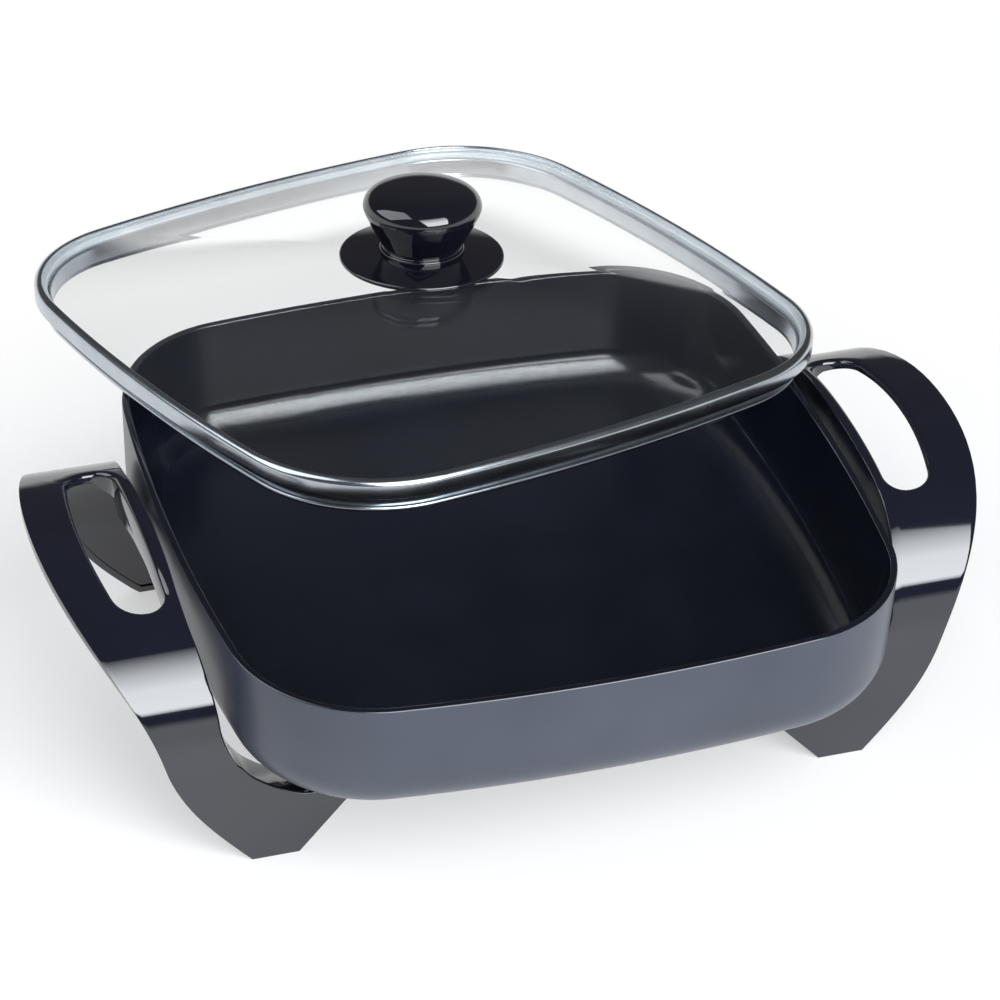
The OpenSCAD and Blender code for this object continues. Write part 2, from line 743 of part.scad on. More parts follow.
module lid_place() {
    translate([lid_dx, lid_dy, lid_z]) rotate([-lid_tip, lid_roll, lid_turn]) children();
}

bead_r = 1.8;
ledge_z = -2.6;
// Width of the hem that is turned in over the glass
hem = 1;
// Bend between the ledge and the faces beside it
bend_r = 1;
// How far the lip leans in
lip_lean = 0.4;

// Rolled steel: a bead over the glass, an upright band, a ledge that sits on
// the pan's rim, and a lip that drops inside it
rim_section = let (bead = [-bead_r, rim_up - bead_r], lip = -lip_in - lip_lean) concat(
    [[lip, -lip_down], [-lip_in, ledge_z - bend_r], [-lip_in + bend_r, ledge_z],
        [-bend_r, ledge_z], [0, ledge_z + bend_r]],
    arc(bead, bead_r, 0, 90, 4),
    [[-bead_r - hem, rim_up], [-bead_r - hem, rim_up - steel_t]],
    arc(bead, bead_r - steel_t, 90, 0, 2),
    [[-steel_t, ledge_z + steel_t], [-lip_in, ledge_z + steel_t],
        [-lip_in - steel_t, ledge_z], [lip - steel_t, -lip_down]]);

module lid_rim() {
    color([0.78, 0.78, 0.77]) lid_place()
        swept(lid_half, lid_corner_r, lid_bow, rim_section, true);
}

module lid_gasket() {
    out = -steel_t - fit;
    in = -lip_in + bend_r;
    low = ledge_z + steel_t;
    high = glass_top - glass_t;
    color([0.55, 0.55, 0.55]) lid_place() swept(lid_half, lid_corner_r, lid_bow,
        [[out, low], [out, high], [in, high], [in, low]], true);
}

// Height of the glass above its edge, where share is 0 in the middle and 1 at the edge
function dome(share) = glass_rise * pow(1 - share * share, dome_power);

module glass_body() {
    rings = 10;
    edge = outline(lid_half, lid_corner_r, lid_bow, glass_edge);
    m = len(edge);
    sheet = [for (i = [1:rings]) let (share = i / rings) for (p = edge)
        [p[0] * share, p[1] * share, glass_top + dome(share)]];
    points = concat([[0, 0, crown_z]], sheet, [[0, 0, crown_z - glass_t]],
        [for (p = sheet) p - [0, 0, glass_t]]);
    low = len(sheet) + 1;
    top_faces = concat(
        [for (j = [0:m - 1]) [0, 1 + (j + 1) % m, 1 + j]],
        [for (i = [0:rings - 2]) for (j = [0:m - 1])
            let (a = 1 + i * m + j, b = 1 + i * m + (j + 1) % m)
            for (f = [[a, b, b + m], [a, b + m, a + m]]) f]);
    bottom_faces = [for (f = top_faces) [f[2] + low, f[1] + low, f[0] + low]];
    rim_faces = [for (j = [0:m - 1])
        let (a = 1 + (rings - 1) * m + j, b = 1 + (rings - 1) * m + (j + 1) % m)
        for (f = [[a, b, b + low], [a, b + low, a + low]]) f];
    polyhedron(points, concat(top_faces, bottom_faces, rim_faces), convexity = 6);
}

// Gap around the knob's screw in the glass
glass_gap = 1.5;

module lid_glass() {
    color([0.75, 0.86, 0.9, 0.35]) lid_place() difference() {
        glass_body();
        cylinder(r = knob_screw_r + glass_gap, h = far, $fn = 48);
    }
}

// --- Knob -------------------------------------------------------------------------

// How far the skirt's edge hangs below the crown of the glass
cup = 1.2;
// How far the skirt swells up to the knob's foot
swell = 0.8;
knob_low = knob_z + swell;

module knob_skirt() {
    low = crown_z - cup;
    high = low + skirt_t;
    round = 0.7;
    seal_room = seal_r + 1;
    color([0.03, 0.03, 0.04]) lid_place() difference() {
        rotate_extrude($fn = 128) polygon([[0, crown_z + seal_t], [seal_room, crown_z + seal_t],
            [seal_room, crown_z + 4 * fit], [skirt_r - round, low], [skirt_r, low + round],
            [skirt_r, high - round], [skirt_r - round, high], [knob_foot_r, knob_low],
            [0, knob_low]]);
        translate([0, 0, crown_z - past])
            cylinder(r = knob_screw_r + screw_gap, h = far, $fn = 48);
    }
}

// Half of the knob's outline, from its foot over its neck to its crown. The
// heights are shares of the knob's height.
knob_profile = [for (p = [[0, 0], [knob_foot_r, 0], [0.98 * knob_foot_r, 0.03],
        [1.06 * neck_r, 0.07], [neck_r, 0.13], [1.09 * neck_r, 0.22], [1.36 * neck_r, 0.3],
        [0.86 * knob_r, 0.37], [0.94 * knob_r, 0.54], [0.985 * knob_r, 0.66],
        [knob_r, 0.76], [0.985 * knob_r, 0.82], [0.94 * knob_r, 0.87], [0.8 * knob_r, 0.93],
        [0.5 * knob_r, 0.98], [0.2 * knob_r, 0.997], [0, 1]])
    [p[0], p[1] * knob_h]];

module knob() {
    color([0.03, 0.03, 0.04]) lid_place() translate([0, 0, knob_low]) difference() {
        rotate_extrude($fn = 128) polygon(knob_profile);
        translate([0, 0, -past]) cylinder(r = insert_r, h = insert_len + past, $fn = 48);
    }
}

module knob_insert() {
    color([0.8, 0.65, 0.3]) lid_place() translate([0, 0, knob_low]) difference() {
        cylinder(r = insert_r, h = insert_len, $fn = 48);
        translate([0, 0, -past])
            cylinder(r = knob_screw_r + fit, h = insert_len, $fn = 48);
    }
}

// The lower seal clears the glass, which is lower at the seal's edge than at the crown
under_seal_z = glass_top + dome(seal_r / lid_half) - glass_t - 3 * fit - seal_t;

module seal_ring() {
    difference() {
        cylinder(r = seal_r, h = seal_t, $fn = 64);
        translate([0, 0, -past])
            cylinder(r = knob_screw_r + screw_gap, h = seal_t + 2 * past, $fn = 48);
    }
}

module knob_seals() {
    color([0.5, 0.5, 0.5]) lid_place() {
        translate([0, 0, crown_z]) seal_ring();
        translate([0, 0, under_seal_z]) seal_ring();
    }
}

module knob_washer() {
    color([0.8, 0.8, 0.8]) lid_place() translate([0, 0, under_seal_z - washer_t])
        difference() {
            cylinder(r = seal_r, h = washer_t, $fn = 64);
            translate([0, 0, -past])
                cylinder(r = knob_screw_r + 2 * fit, h = washer_t + 2 * past, $fn = 48);
        }
}

module knob_screw() {
    head_h = 2.6;
    // Room in the insert past the screw's end
    end_room = 3;
    low = under_seal_z - washer_t;
    color([0.8, 0.8, 0.8]) lid_place() {
        translate([0, 0, low - head_h]) screw_head(2 * knob_screw_r, head_h);
        translate([0, 0, low])
            cylinder(r = knob_screw_r, h = knob_low + insert_len - end_room - low, $fn = 48);
    }
}

pan();
heating_element();
terminal_pins();
pin_insulators();
sensor_sleeve();
probe_guard();
guard_screws();
right_handle();
left_handle();
right_handle_screws();
left_handle_screws();
right_handle_washers();
left_handle_washers();
lid_rim();
lid_glass();
lid_gasket();
knob_skirt();
knob();
knob_insert();
knob_seals();
knob_washer();
knob_screw();
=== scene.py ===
"""Electric skillet with a loose glass lid: the looks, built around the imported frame.

Sizes are in millimetres, and each mesh is brought to metres when its object is made.
"""
import json
import math

import bmesh
import bpy
from mathutils import Matrix, Vector


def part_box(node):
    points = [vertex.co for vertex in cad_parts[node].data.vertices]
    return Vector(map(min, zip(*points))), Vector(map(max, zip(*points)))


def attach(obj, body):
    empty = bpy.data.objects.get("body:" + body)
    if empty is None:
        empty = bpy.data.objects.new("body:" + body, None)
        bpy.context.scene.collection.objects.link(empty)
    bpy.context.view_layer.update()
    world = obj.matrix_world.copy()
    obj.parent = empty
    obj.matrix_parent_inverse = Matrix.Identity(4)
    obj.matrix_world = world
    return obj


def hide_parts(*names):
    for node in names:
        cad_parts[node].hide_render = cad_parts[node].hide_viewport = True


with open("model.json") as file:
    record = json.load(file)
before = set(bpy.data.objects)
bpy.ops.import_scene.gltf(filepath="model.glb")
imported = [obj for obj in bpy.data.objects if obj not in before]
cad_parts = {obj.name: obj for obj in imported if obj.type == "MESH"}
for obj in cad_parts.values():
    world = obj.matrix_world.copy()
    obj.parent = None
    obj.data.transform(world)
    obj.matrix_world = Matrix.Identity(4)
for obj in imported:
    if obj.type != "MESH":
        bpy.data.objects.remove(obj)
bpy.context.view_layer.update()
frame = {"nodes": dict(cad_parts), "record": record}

MM = 0.001

# Pan
PAN_HALF = 160.0
PAN_CORNER_R = 66.0
PAN_BOW = 4.8
RIM_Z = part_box("pan")[1].z / MM
UNDER_Z = 50.5
FLOOR_Z = 54.5
PAN_WALL = 3.5
PAN_DRAFT, INNER_LEAN = 1.9, 7.0
UNDER_R = 23.0
FLOOR_R = 20.0
RIM_EDGE_R = 0.9

# Underside of the pan
LUG_X, LUG_Y, LUG_R = 113.0, 82.0, 8.0
LUG_Z = 46.0
LOOP_HALF, LOOP_CORNER_R = 94.0, 35.0
RIDGE_W, RIDGE_Z = 14.4, 46.9
TAIL_R, PIN_GAP = 10.0, 38.0
BLOCK_X, BLOCK_T, BLOCK_Z, BLOCK_W = 140.0, 34.0, 29.26, 66.0
PIN_Z = 38.26
BOSS_X, BOSS_LEN, BOSS_R = 75.0, 62.0, 7.6

# Handles
GRIP_Z = 116.0
REACHES = [60.7, 60.7, 31.4, 26.7, 23.0]
FOOT_Y = 105.2
KNEE_IN, KNEE_Z = 6.6, 48.0
SHOULDER_PULL, KNEE_PULL = 104.0, 13.0
SHELL_T = 3.0
# Depth of the turned-in edge beside the pan, by distance from the middle, and of the outer one
PAN_LIP_DEPTHS = ((70, 24.0), (92, 19.0))
OUTER_LIP_DEPTH = 4.0
PAN_GAP = 4.5
# Wider gap to the pan, by distance from the middle, and below the shoulder by height
GAP_BY_Y = ((0, 0.6), (27, 1.4), (51, 3.2), (66, 3.4), (76, 2.8), (88, 2.2), (95, 1.0))
GAP_BY_Z = ((48, 9.6), (51.5, 6.2), (55, 3.9), (60, 2.2), (65, 1.4), (72, 1.0))
FOOT_IN, FOOT_W = 125.2, 21.8
LEG_IN, LEG_IN_Z, LEG_IN_TOP = 98.0, 28.0, 31.0
HANDLE_EDGE_R, PAN_SIDE_R = 1.3, 4.0
TOWER_R, TOWER_H = 9.0, 12.0

# Finger slot
SLOT_LOW = PAN_HALF + 12.0
SLOT_HIGH = SLOT_LOW + 26.7
SLOT_END = 53.6
SLOT_EDGE_R = 230.0
SLOT_OUTER_R, SLOT_INNER_R = 13.0, 9.0
SLOT_ROUND = 3.2
SLOT_FRAME_Y = 64.0
SLOT_STEPS = 8
# Depth of the slot's lip, by distance from the pan's middle
SLOT_LIP_DEPTHS = ((SLOT_LOW, 12.0), (SLOT_LOW + 9.0, 6.0), (SLOT_HIGH, 3.4))

# Lid, in its own frame at the middle of the rim's widest line
LID_AT = (1.4, 131.2, 118.069)
LID_TURN, LID_TIP, LID_ROLL = 16.5, 6.5, 3.5
LID_HALF = 159.5
LID_CORNER_R = 71.0
LID_BOW = 4.4
STEEL_T = 1.1
RIM_UP, LIP_DOWN, LIP_IN = 6.9, 11.9, 7.4
LEDGE_Z = -2.6
BEAD_R, LIP_ROLL_R = 2.9, 1.5
GLASS_T, GLASS_RISE, GLASS_EDGE = 4.0, 25.1, 2.2
DOME_POWER = 1.5
GLASS_TOP = RIM_UP - STEEL_T - 0.25
CROWN_Z = GLASS_TOP + GLASS_RISE
GLASS_HOLE_R = 4.0
GLASS_RINGS, ROUND_SHARE = 30, 0.3

# Knob
SKIRT_R, SKIRT_T, SKIRT_CUP = 39.6, 2.2, 1.2
KNOB_R, KNOB_H, KNOB_FOOT_R = 28.5, 32.4, 20.3
SEAL_R, SEAL_T = 12.0, 1.2
KNOB_LOW = CROWN_Z + SKIRT_T + 0.8

# Studio. Levels are shares of white, and distances are in metres, apart from AIM_Z.
AIM_Z = 80.0
LAMP_COLOUR = (0.93, 0.965, 1.0)
FLOOR_WHITE, FLOOR_GLOW = 0.97, 0.5
SHADOW_NEAR, SHADOW_FAR = 0.23, 0.40
SKY_LEVEL, HORIZON_TOP = 0.08, 0.14
FLOOR_REACH = 12


# --- Curves ---------------------------------------------------------------------

def degrees(angle):
    """The direction at an angle in degrees, of length 1."""
    return Vector((math.cos(math.radians(angle)), math.sin(math.radians(angle))))


def arc(centre, radius, start, end, steps):
    """Points of an arc from one angle to another, in degrees."""
    return [Vector(centre) + radius * degrees(start + (end - start) * i / steps)
            for i in range(steps + 1)]


def bezier(controls, t):
    """The point at t on the curve with these control points or values."""
    points = list(controls)
    while len(points) > 1:
        points = [a * (1 - t) + b * t for a, b in zip(points, points[1:])]
    return points[0]


def bezier_direction(controls, t):
    """The curve's direction at t, of length 1."""
    return bezier([b - a for a, b in zip(controls, controls[1:])], t).normalized()


def filleted(corners, steps=4, closed=True):
    """Rounds an outline's corners, each given as (x, y, radius)."""
    points = []
    for i, (x, y, radius) in enumerate(corners):
        here = Vector((x, y))
        if radius == 0:
            points.append(here)
            continue
        before = (Vector(corners[i - 1][:2]) - here).normalized()
        after = (Vector(corners[(i + 1) % len(corners)][:2]) - here).normalized()
        half = before.angle(after) / 2
        centre = here + (before + after).normalized() * radius / math.sin(half)
        reach = radius / math.tan(half)
        a = here + before * reach - centre
        b = here + after * reach - centre
        for j in range(steps + 1):
            mix = a.lerp(b, j / steps)
            points.append(centre + mix.normalized() * radius)
    return points


def through(points, steps=6):
    """A smooth curve through the points."""
    rows = [Vector(p) for p in points]
    rows = [2 * rows[0] - rows[1]] + rows + [2 * rows[-1] - rows[-2]]
    curve = []
    for a, b, c, d in zip(rows, rows[1:], rows[2:], rows[3:]):
        for j in range(steps):
            t = j / steps
            curve.append(0.5 * (2 * b + (c - a) * t + (2 * a - 5 * b + 4 * c - d) * t * t
                                + (3 * b - a - 3 * c + d) * t ** 3))
    return curve + [rows[-2]]


def between(table, at):
    """The value at a place in a table of (place, value)."""
    for (a, low), (b, high) in zip(table, table[1:]):
        if at <= b:
            return low + (high - low) * max(0.0, (at - a) / (b - a))
    return table[-1][1]


def outline_spots(half, corner_r, bow, side_steps=14, corner_steps=22):
    """Spots around a square with round corners and bulging sides: (centre, direction, radius)."""
    big = ((half - corner_r) ** 2 + bow ** 2) / (2 * bow)
    back = big - half
    k = (math.sqrt(2 * (big - corner_r) ** 2 - back ** 2) - back) / 2
    turn = math.degrees(math.atan2(k, k + back))
    spots = []
    for quarter in range(4):
        spin = Matrix.Rotation(quarter * math.pi / 2, 2)
        for i in range(side_steps):
            way = degrees(turn * (2 * i / side_steps - 1))
            spots.append((spin @ Vector((-back, 0)), spin @ way, big))
        for i in range(corner_steps):
            way = degrees(turn + (90 - 2 * turn) * i / corner_steps)
            spots.append((spin @ Vector((k, k)), spin @ way, corner_r))
    return spots


# --- Mesh helpers ------------------------------------------------------------------

def new_edges(geometry):
    """The edges among extruded geometry whose two ends are both new."""
    verts = {v for v in geometry if isinstance(v, bmesh.types.BMVert)}
    return [e for e in geometry if isinstance(e, bmesh.types.BMEdge)
            and e.verts[0] in verts and e.verts[1] in verts]


def grow_rings(bm, count, rings, place):
    """Grows rings out of a circle's edges. place(i, k) says where spot i of ring k lies.
    Returns the edges of the last ring."""
    spot = bm.verts.layers.int.get("spot") or bm.verts.layers.int.new("spot")
    circle = bmesh.ops.create_circle(bm, cap_ends=False, radius=1, segments=count)["verts"]
    for i, vert in enumerate(circle):
        vert[spot] = i
        vert.co = place(i, 0)
    edges = list({e for v in circle for e in v.link_edges})
    first = edges
    for k in range(1, rings):
        grown = bmesh.ops.extrude_edge_only(bm, edges=edges)["geom"]
        for vert in grown:
            if isinstance(vert, bmesh.types.BMVert):
                vert.co = place(vert[spot], k)
        edges = new_edges(grown)
    return first, edges


def sweep_outline(bm, spots, section, closed=True):
    """Sweeps a section around an outline. Its points are (minus the distance in, height).
    A closed section makes a ring, and an open one is capped at both ends."""
    points = list(section) + ([section[0]] if closed else [])

    def place(i, k):
        centre, way, radius = spots[i]
        flat = centre + way * (radius + points[k][0])
        return Vector((flat.x, flat.y, points[k][1]))

    ends = grow_rings(bm, len(spots), len(points), place)
    if not closed:
        for edges in ends:
            bmesh.ops.contextual_create(bm, geom=edges)


def spin_profile(bm, profile, steps=96):
    """Turns a profile of (radius, height) points about the upright axis."""
    start = bm.verts.new((profile[0][0], 0, profile[0][1]))
    geometry = [start]
    last = start
    for r, z in profile[1:]:
        vert = bm.verts.new((r, 0, z))
        geometry += [vert, bm.edges.new((last, vert))]
        last = vert
    bmesh.ops.spin(bm, geom=geometry, cent=(0, 0, 0), axis=(0, 0, 1), angle=2 * math.pi,
                   steps=steps, use_merge=True, use_duplicate=False)


def add_block(bm, low, high, edge_r=0.8):
    """Adds a box with rounded edges between two corners."""
    low, high = Vector(low), Vector(high)
    place = Matrix.Translation((low + high) / 2) @ Matrix.Diagonal((high - low).to_4d())
    verts = bmesh.ops.create_cube(bm, size=1, matrix=place)["verts"]
    edges = list({e for v in verts for e in v.link_edges})
    bmesh.ops.bevel(bm, geom=edges, offset=edge_r, offset_type="OFFSET", affect="EDGES",
                    segments=3, profile=0.5, material=-1)


def add_barrel(bm, centre, radius, height, axis="Z", edge_r=0.6, steps=64):
    """Adds a round bar with rounded ends. centre is the middle of its lower end."""
    turn = Matrix.Rotation(math.pi / 2, 4, "Y") if axis == "X" else Matrix.Identity(4)
    place = Matrix.Translation(centre) @ turn @ Matrix.Translation((0, 0, height / 2))
    verts = bmesh.ops.create_cone(bm, cap_ends=True, segments=steps, radius1=radius,
                                  radius2=radius, depth=height, matrix=place)["verts"]
    caps = {f for v in verts for f in v.link_faces if len(f.verts) == steps}
    edges = list({e for f in caps for e in f.edges})
    bmesh.ops.bevel(bm, geom=edges, offset=edge_r, offset_type="OFFSET", affect="EDGES",
                    segments=3, profile=0.5, material=-1)


def place_lid():
    """The matrix that sets the lid's own frame down on the pan."""
    turn = (Matrix.Rotation(math.radians(LID_TURN), 4, "Z")
            @ Matrix.Rotation(math.radians(LID_ROLL), 4, "Y")
            @ Matrix.Rotation(math.radians(-LID_TIP), 4, "X"))
    return Matrix.Translation(LID_AT) @ turn


def tidy(bm, place=None):
    """Merges what meets, turns the faces outwards and puts the mesh in its place."""
    bmesh.ops.remove_doubles(bm, verts=bm.verts, dist=0.001)
    bmesh.ops.recalc_face_normals(bm, faces=bm.faces)
    bmesh.ops.transform(bm, matrix=place or Matrix.Identity(4), verts=bm.verts)


def make_piece(name, bm, body, replaced, material, sharp=40):
    """Makes an object of a mesh in millimetres, on its body and in place of its node."""
    bmesh.ops.scale(bm, vec=(MM, MM, MM), verts=bm.verts)
    mesh = bpy.data.meshes.new(name)
    bm.to_mesh(mesh)
    bm.free()
    mesh.shade_smooth()
    mesh.set_sharp_from_angle(angle=math.radians(sharp))
    mesh.materials.append(material)
    piece = bpy.data.objects.new(name, mesh)
    bpy.context.scene.collection.objects.link(piece)
    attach(piece, body)
    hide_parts(*replaced)
    return piece


# --- Camera ---------------------------------------------------------------------------

def make_camera():
    azimuth, elevation, roll = map(math.radians, (-19.559, 35.593, 2.656))
    distance, slide_x, slide_y = 2010.6, 0.495, 14.449
    focal_px, frame_px, sensor = 4326.44, 1000, 36.0
    back = Vector((math.sin(azimuth) * math.cos(elevation),
                   -math.cos(azimuth) * math.cos(elevation), math.sin(elevation)))
    right = Vector((math.cos(azimuth), math.sin(azimuth), 0))
    up = back.cross(right)
    side = right * math.cos(roll) + up * math.sin(roll)
    top = up * math.cos(roll) - right * math.sin(roll)
    place = Matrix((side, top, back)).transposed().to_4x4()
    eye = Vector((0, 0, AIM_Z)) + back * distance + side * slide_x + top * slide_y
    place.translation = eye * MM
    data = bpy.data.cameras.new("camera")
    data.sensor_width = sensor
    data.lens = focal_px * sensor / frame_px
    data.clip_end = 50
    camera = bpy.data.objects.new("camera", data)
    bpy.context.scene.collection.objects.link(camera)
    camera.matrix_world = place
    bpy.context.scene.camera = camera


# --- Shader groups and materials ---------------------------------------------------------

def link(tree, source, target):
    tree.links.new(source, target)


def new_group(name, inputs, outputs):
    """A shader group with number inputs {name: default} and named outputs {name: kind}."""
    group = bpy.data.node_groups.new(name, "ShaderNodeTree")
    for socket, value in inputs.items():
        made = group.interface.new_socket(socket, in_out="INPUT", socket_type="NodeSocketFloat")
        made.default_value = value
    for socket, kind in outputs.items():
        group.interface.new_socket(socket, in_out="OUTPUT", socket_type=kind)
    return group, group.nodes.new("NodeGroupInput"), group.nodes.new("NodeGroupOutput")


def maths(tree, operation, a, b):
    """A Math node on two sockets or numbers."""
    node = tree.nodes.new("ShaderNodeMath")
    node.operation = operation
    for socket, value in zip(node.inputs, (a, b)):
        if isinstance(value, (int, float)):
            socket.default_value = value
        else:
            link(tree, value, socket)
    return node.outputs[0]


def ramp_of(tree, value, start, end, first, last):
    """Goes smoothly from first to last as a socket's value goes from start to end."""
    node = tree.nodes.new("ShaderNodeMapRange")
    node.interpolation_type = "SMOOTHSTEP"
    for socket, number in (("From Min", start), ("From Max", end), ("To Min", first),
                           ("To Max", last)):
        node.inputs[socket].default_value = number
    link(tree, value, node.inputs["Value"])
    return node.outputs["Result"]


def noise(tree, vector, scale, detail=3.0, stretch=None):
    """A noise texture's value, where scale is a socket or a number of waves per metre."""
    if stretch:
        mapping = tree.nodes.new("ShaderNodeMapping")
        mapping.inputs["Scale"].default_value = stretch
        link(tree, vector, mapping.inputs["Vector"])
        vector = mapping.outputs["Vector"]
    node = tree.nodes.new("ShaderNodeTexNoise")
    node.inputs["Detail"].default_value = detail
    link(tree, vector, node.inputs["Vector"])
    if isinstance(scale, (int, float)):
        node.inputs["Scale"].default_value = scale
    else:
        link(tree, scale, node.inputs["Scale"])
    return node.outputs["Fac"]


def make_finish_group():
    """Cloudy variation of a surface: a roughness, a shade from 0 to 1 and a height for bump."""
    group, source, sink = new_group(
        "surface finish",
        {"Roughness": 0.3, "Roughness Change": 0.05, "Cloud Scale": 30.0, "Grain Scale": 900.0},
        {"Roughness": "NodeSocketFloat", "Shade": "NodeSocketFloat", "Height": "NodeSocketFloat"})
    place = group.nodes.new("ShaderNodeTexCoord").outputs["Object"]
    cloud = noise(group, place, source.outputs["Cloud Scale"], 4)
    grain = noise(group, place, source.outputs["Grain Scale"], 2)
    swing = maths(group, "SUBTRACT", cloud, 0.5)
    swing = maths(group, "MULTIPLY", swing, source.outputs["Roughness Change"])
    rough = maths(group, "ADD", source.outputs["Roughness"], swing)
    link(group, rough, sink.inputs["Roughness"])
    link(group, cloud, sink.inputs["Shade"])
    link(group, grain, sink.inputs["Height"])
    return group


def new_material(name, finish, rough, change, cloud, grain, dark, light, bump=0.0, bump_mm=0.05,
                 **plain):
    """A Principled material whose colour, roughness and bump vary through the finish group.
    plain gives constant sockets by name."""
    material = bpy.data.materials.new(name)
    material.use_nodes = True
    tree = material.node_tree
    shader = tree.nodes["Principled BSDF"]
    node = tree.nodes.new("ShaderNodeGroup")
    node.node_tree = finish
    for socket, value in (("Roughness", rough), ("Roughness Change", change),
                          ("Cloud Scale", cloud), ("Grain Scale", grain)):
        node.inputs[socket].default_value = value
    link(tree, node.outputs["Roughness"], shader.inputs["Roughness"])
    ramp = tree.nodes.new("ShaderNodeValToRGB")
    ramp.color_ramp.elements[0].position = 0.3
    ramp.color_ramp.elements[0].color = (*dark, 1)
    ramp.color_ramp.elements[1].position = 0.7
    ramp.color_ramp.elements[1].color = (*light, 1)
    link(tree, node.outputs["Shade"], ramp.inputs["Fac"])
    link(tree, ramp.outputs["Color"], shader.inputs["Base Color"])
    if bump:
        bumper = tree.nodes.new("ShaderNodeBump")
        bumper.inputs["Strength"].default_value = bump
        bumper.inputs["Distance"].default_value = bump_mm * MM
        link(tree, node.outputs["Height"], bumper.inputs["Height"])
        link(tree, bumper.outputs["Normal"], shader.inputs["Normal"])
    for socket, value in plain.items():
        shader.inputs[socket.replace("_", " ")].default_value = value
    return material


def make_glass(finish):
    """Clear glass that lets the light through to what lies below it."""
    material = new_material("clear glass", finish, 0.0, 0.004, 14, 400,
                            (0.98, 0.99, 0.99), (0.99, 0.998, 0.998),
                            IOR=1.5, Transmission_Weight=1.0)
    tree = material.node_tree
    shader = tree.nodes["Principled BSDF"]
    rays = tree.nodes.new("ShaderNodeLightPath")
    clear = tree.nodes.new("ShaderNodeBsdfTransparent")
    clear.inputs["Color"].default_value = (0.92, 0.94, 0.94, 1)
    mix = tree.nodes.new("ShaderNodeMixShader")
    link(tree, rays.outputs["Is Shadow Ray"], mix.inputs["Fac"])
    link(tree, shader.outputs["BSDF"], mix.inputs[1])
    link(tree, clear.outputs["BSDF"], mix.inputs[2])
    link(tree, mix.outputs["Shader"], tree.nodes["Material Output"].inputs["Surface"])
    return material


def dull_low_faces(material, low_z, high_z, more_rough, low_shine):
    """Makes the faces below a height rougher and less shiny, as on a pan's floor."""
    tree = material.node_tree
    shader = tree.nodes["Principled BSDF"]
    split = tree.nodes.new("ShaderNodeSeparateXYZ")
    link(tree, tree.nodes.new("ShaderNodeTexCoord").outputs["Object"], split.inputs["Vector"])
    plain_shine = shader.inputs["Specular IOR Level"].default_value
    dull = ramp_of(tree, split.outputs["Z"], low_z * MM, high_z * MM, more_rough, 0.0)
    shine = ramp_of(tree, split.outputs["Z"], low_z * MM, high_z * MM, low_shine, plain_shine)
    link(tree, shine, shader.inputs["Specular IOR Level"])
    rough = shader.inputs["Roughness"].links[0].from_socket
    link(tree, maths(tree, "ADD", rough, dull), shader.inputs["Roughness"])


def make_materials():
    finish = make_finish_group()
    materials = {
        "pan_coating": new_material(
            "non-stick coating", finish, 0.15, 0.06, 25, 1400,
            (0.002, 0.0027, 0.0065), (0.0035, 0.0047, 0.0105), bump=0.2, bump_mm=0.03, IOR=1.75),
        "pan_lacquer": new_material(
            "satin lacquer", finish, 0.34, 0.08, 20, 1200,
            (0.034, 0.041, 0.062), (0.045, 0.053, 0.078), bump=0.2, bump_mm=0.03, IOR=1.6),
        "handle_plastic": new_material(
            "moulded gloss plastic", finish, 0.06, 0.03, 18, 260,
            (0.004, 0.005, 0.012), (0.0055, 0.0065, 0.0155), bump=0.05, bump_mm=0.02, IOR=1.85),
        "knob_plastic": new_material(
            "knob plastic", finish, 0.05, 0.03, 22, 300,
            (0.004, 0.004, 0.009), (0.006, 0.006, 0.012), bump=0.04, bump_mm=0.02, IOR=1.8),
        "rim_steel": new_material(
            "polished steel", finish, 0.20, 0.05, 60, 1500,
            (0.45, 0.49, 0.54), (0.53, 0.57, 0.62), bump=0.08, bump_mm=0.02, Metallic=1.0),
        "lid_glass": make_glass(finish),
        "seal_rubber": new_material(
            "silicone seal", finish, 0.45, 0.10, 60, 1200,
            (0.50, 0.52, 0.54), (0.60, 0.62, 0.64), bump=0.2, bump_mm=0.05),
        "element_steel": new_material(
            "heating tube steel", finish, 0.38, 0.14, 80, 1600,
            (0.22, 0.20, 0.18), (0.42, 0.40, 0.37), bump=0.2, bump_mm=0.05, Metallic=1.0),
        "bright_steel": new_material(
            "plated steel", finish, 0.26, 0.10, 90, 1800,
            (0.55, 0.55, 0.54), (0.72, 0.72, 0.70), bump=0.1, bump_mm=0.03, Metallic=1.0),
        "insulator_ceramic": new_material(
            "steatite", finish, 0.55, 0.10, 120, 1500,
            (0.78, 0.75, 0.68), (0.90, 0.88, 0.82), bump=0.3, bump_mm=0.05),
        "insert_brass": new_material(
            "brass", finish, 0.28, 0.10, 90, 1500,
            (0.62, 0.46, 0.20), (0.78, 0.60, 0.30), bump=0.1, bump_mm=0.03, Metallic=1.0),
    }
    dull_low_faces(materials["pan_coating"], FLOOR_Z + 0.5, FLOOR_Z + 5, more_rough=0.27,
                   low_shine=0.12)
    return materials


# --- Pan ----------------------------------------------------------------------------------

def round_in(low_z, radius, wall, lean):
    """How far in from the outline the centre of a lower round lies."""
    lean = math.radians(lean)
    top = low_z + radius - radius * math.sin(lean)
    return wall + (RIM_Z - top) * math.tan(lean) + radius * math.cos(lean)


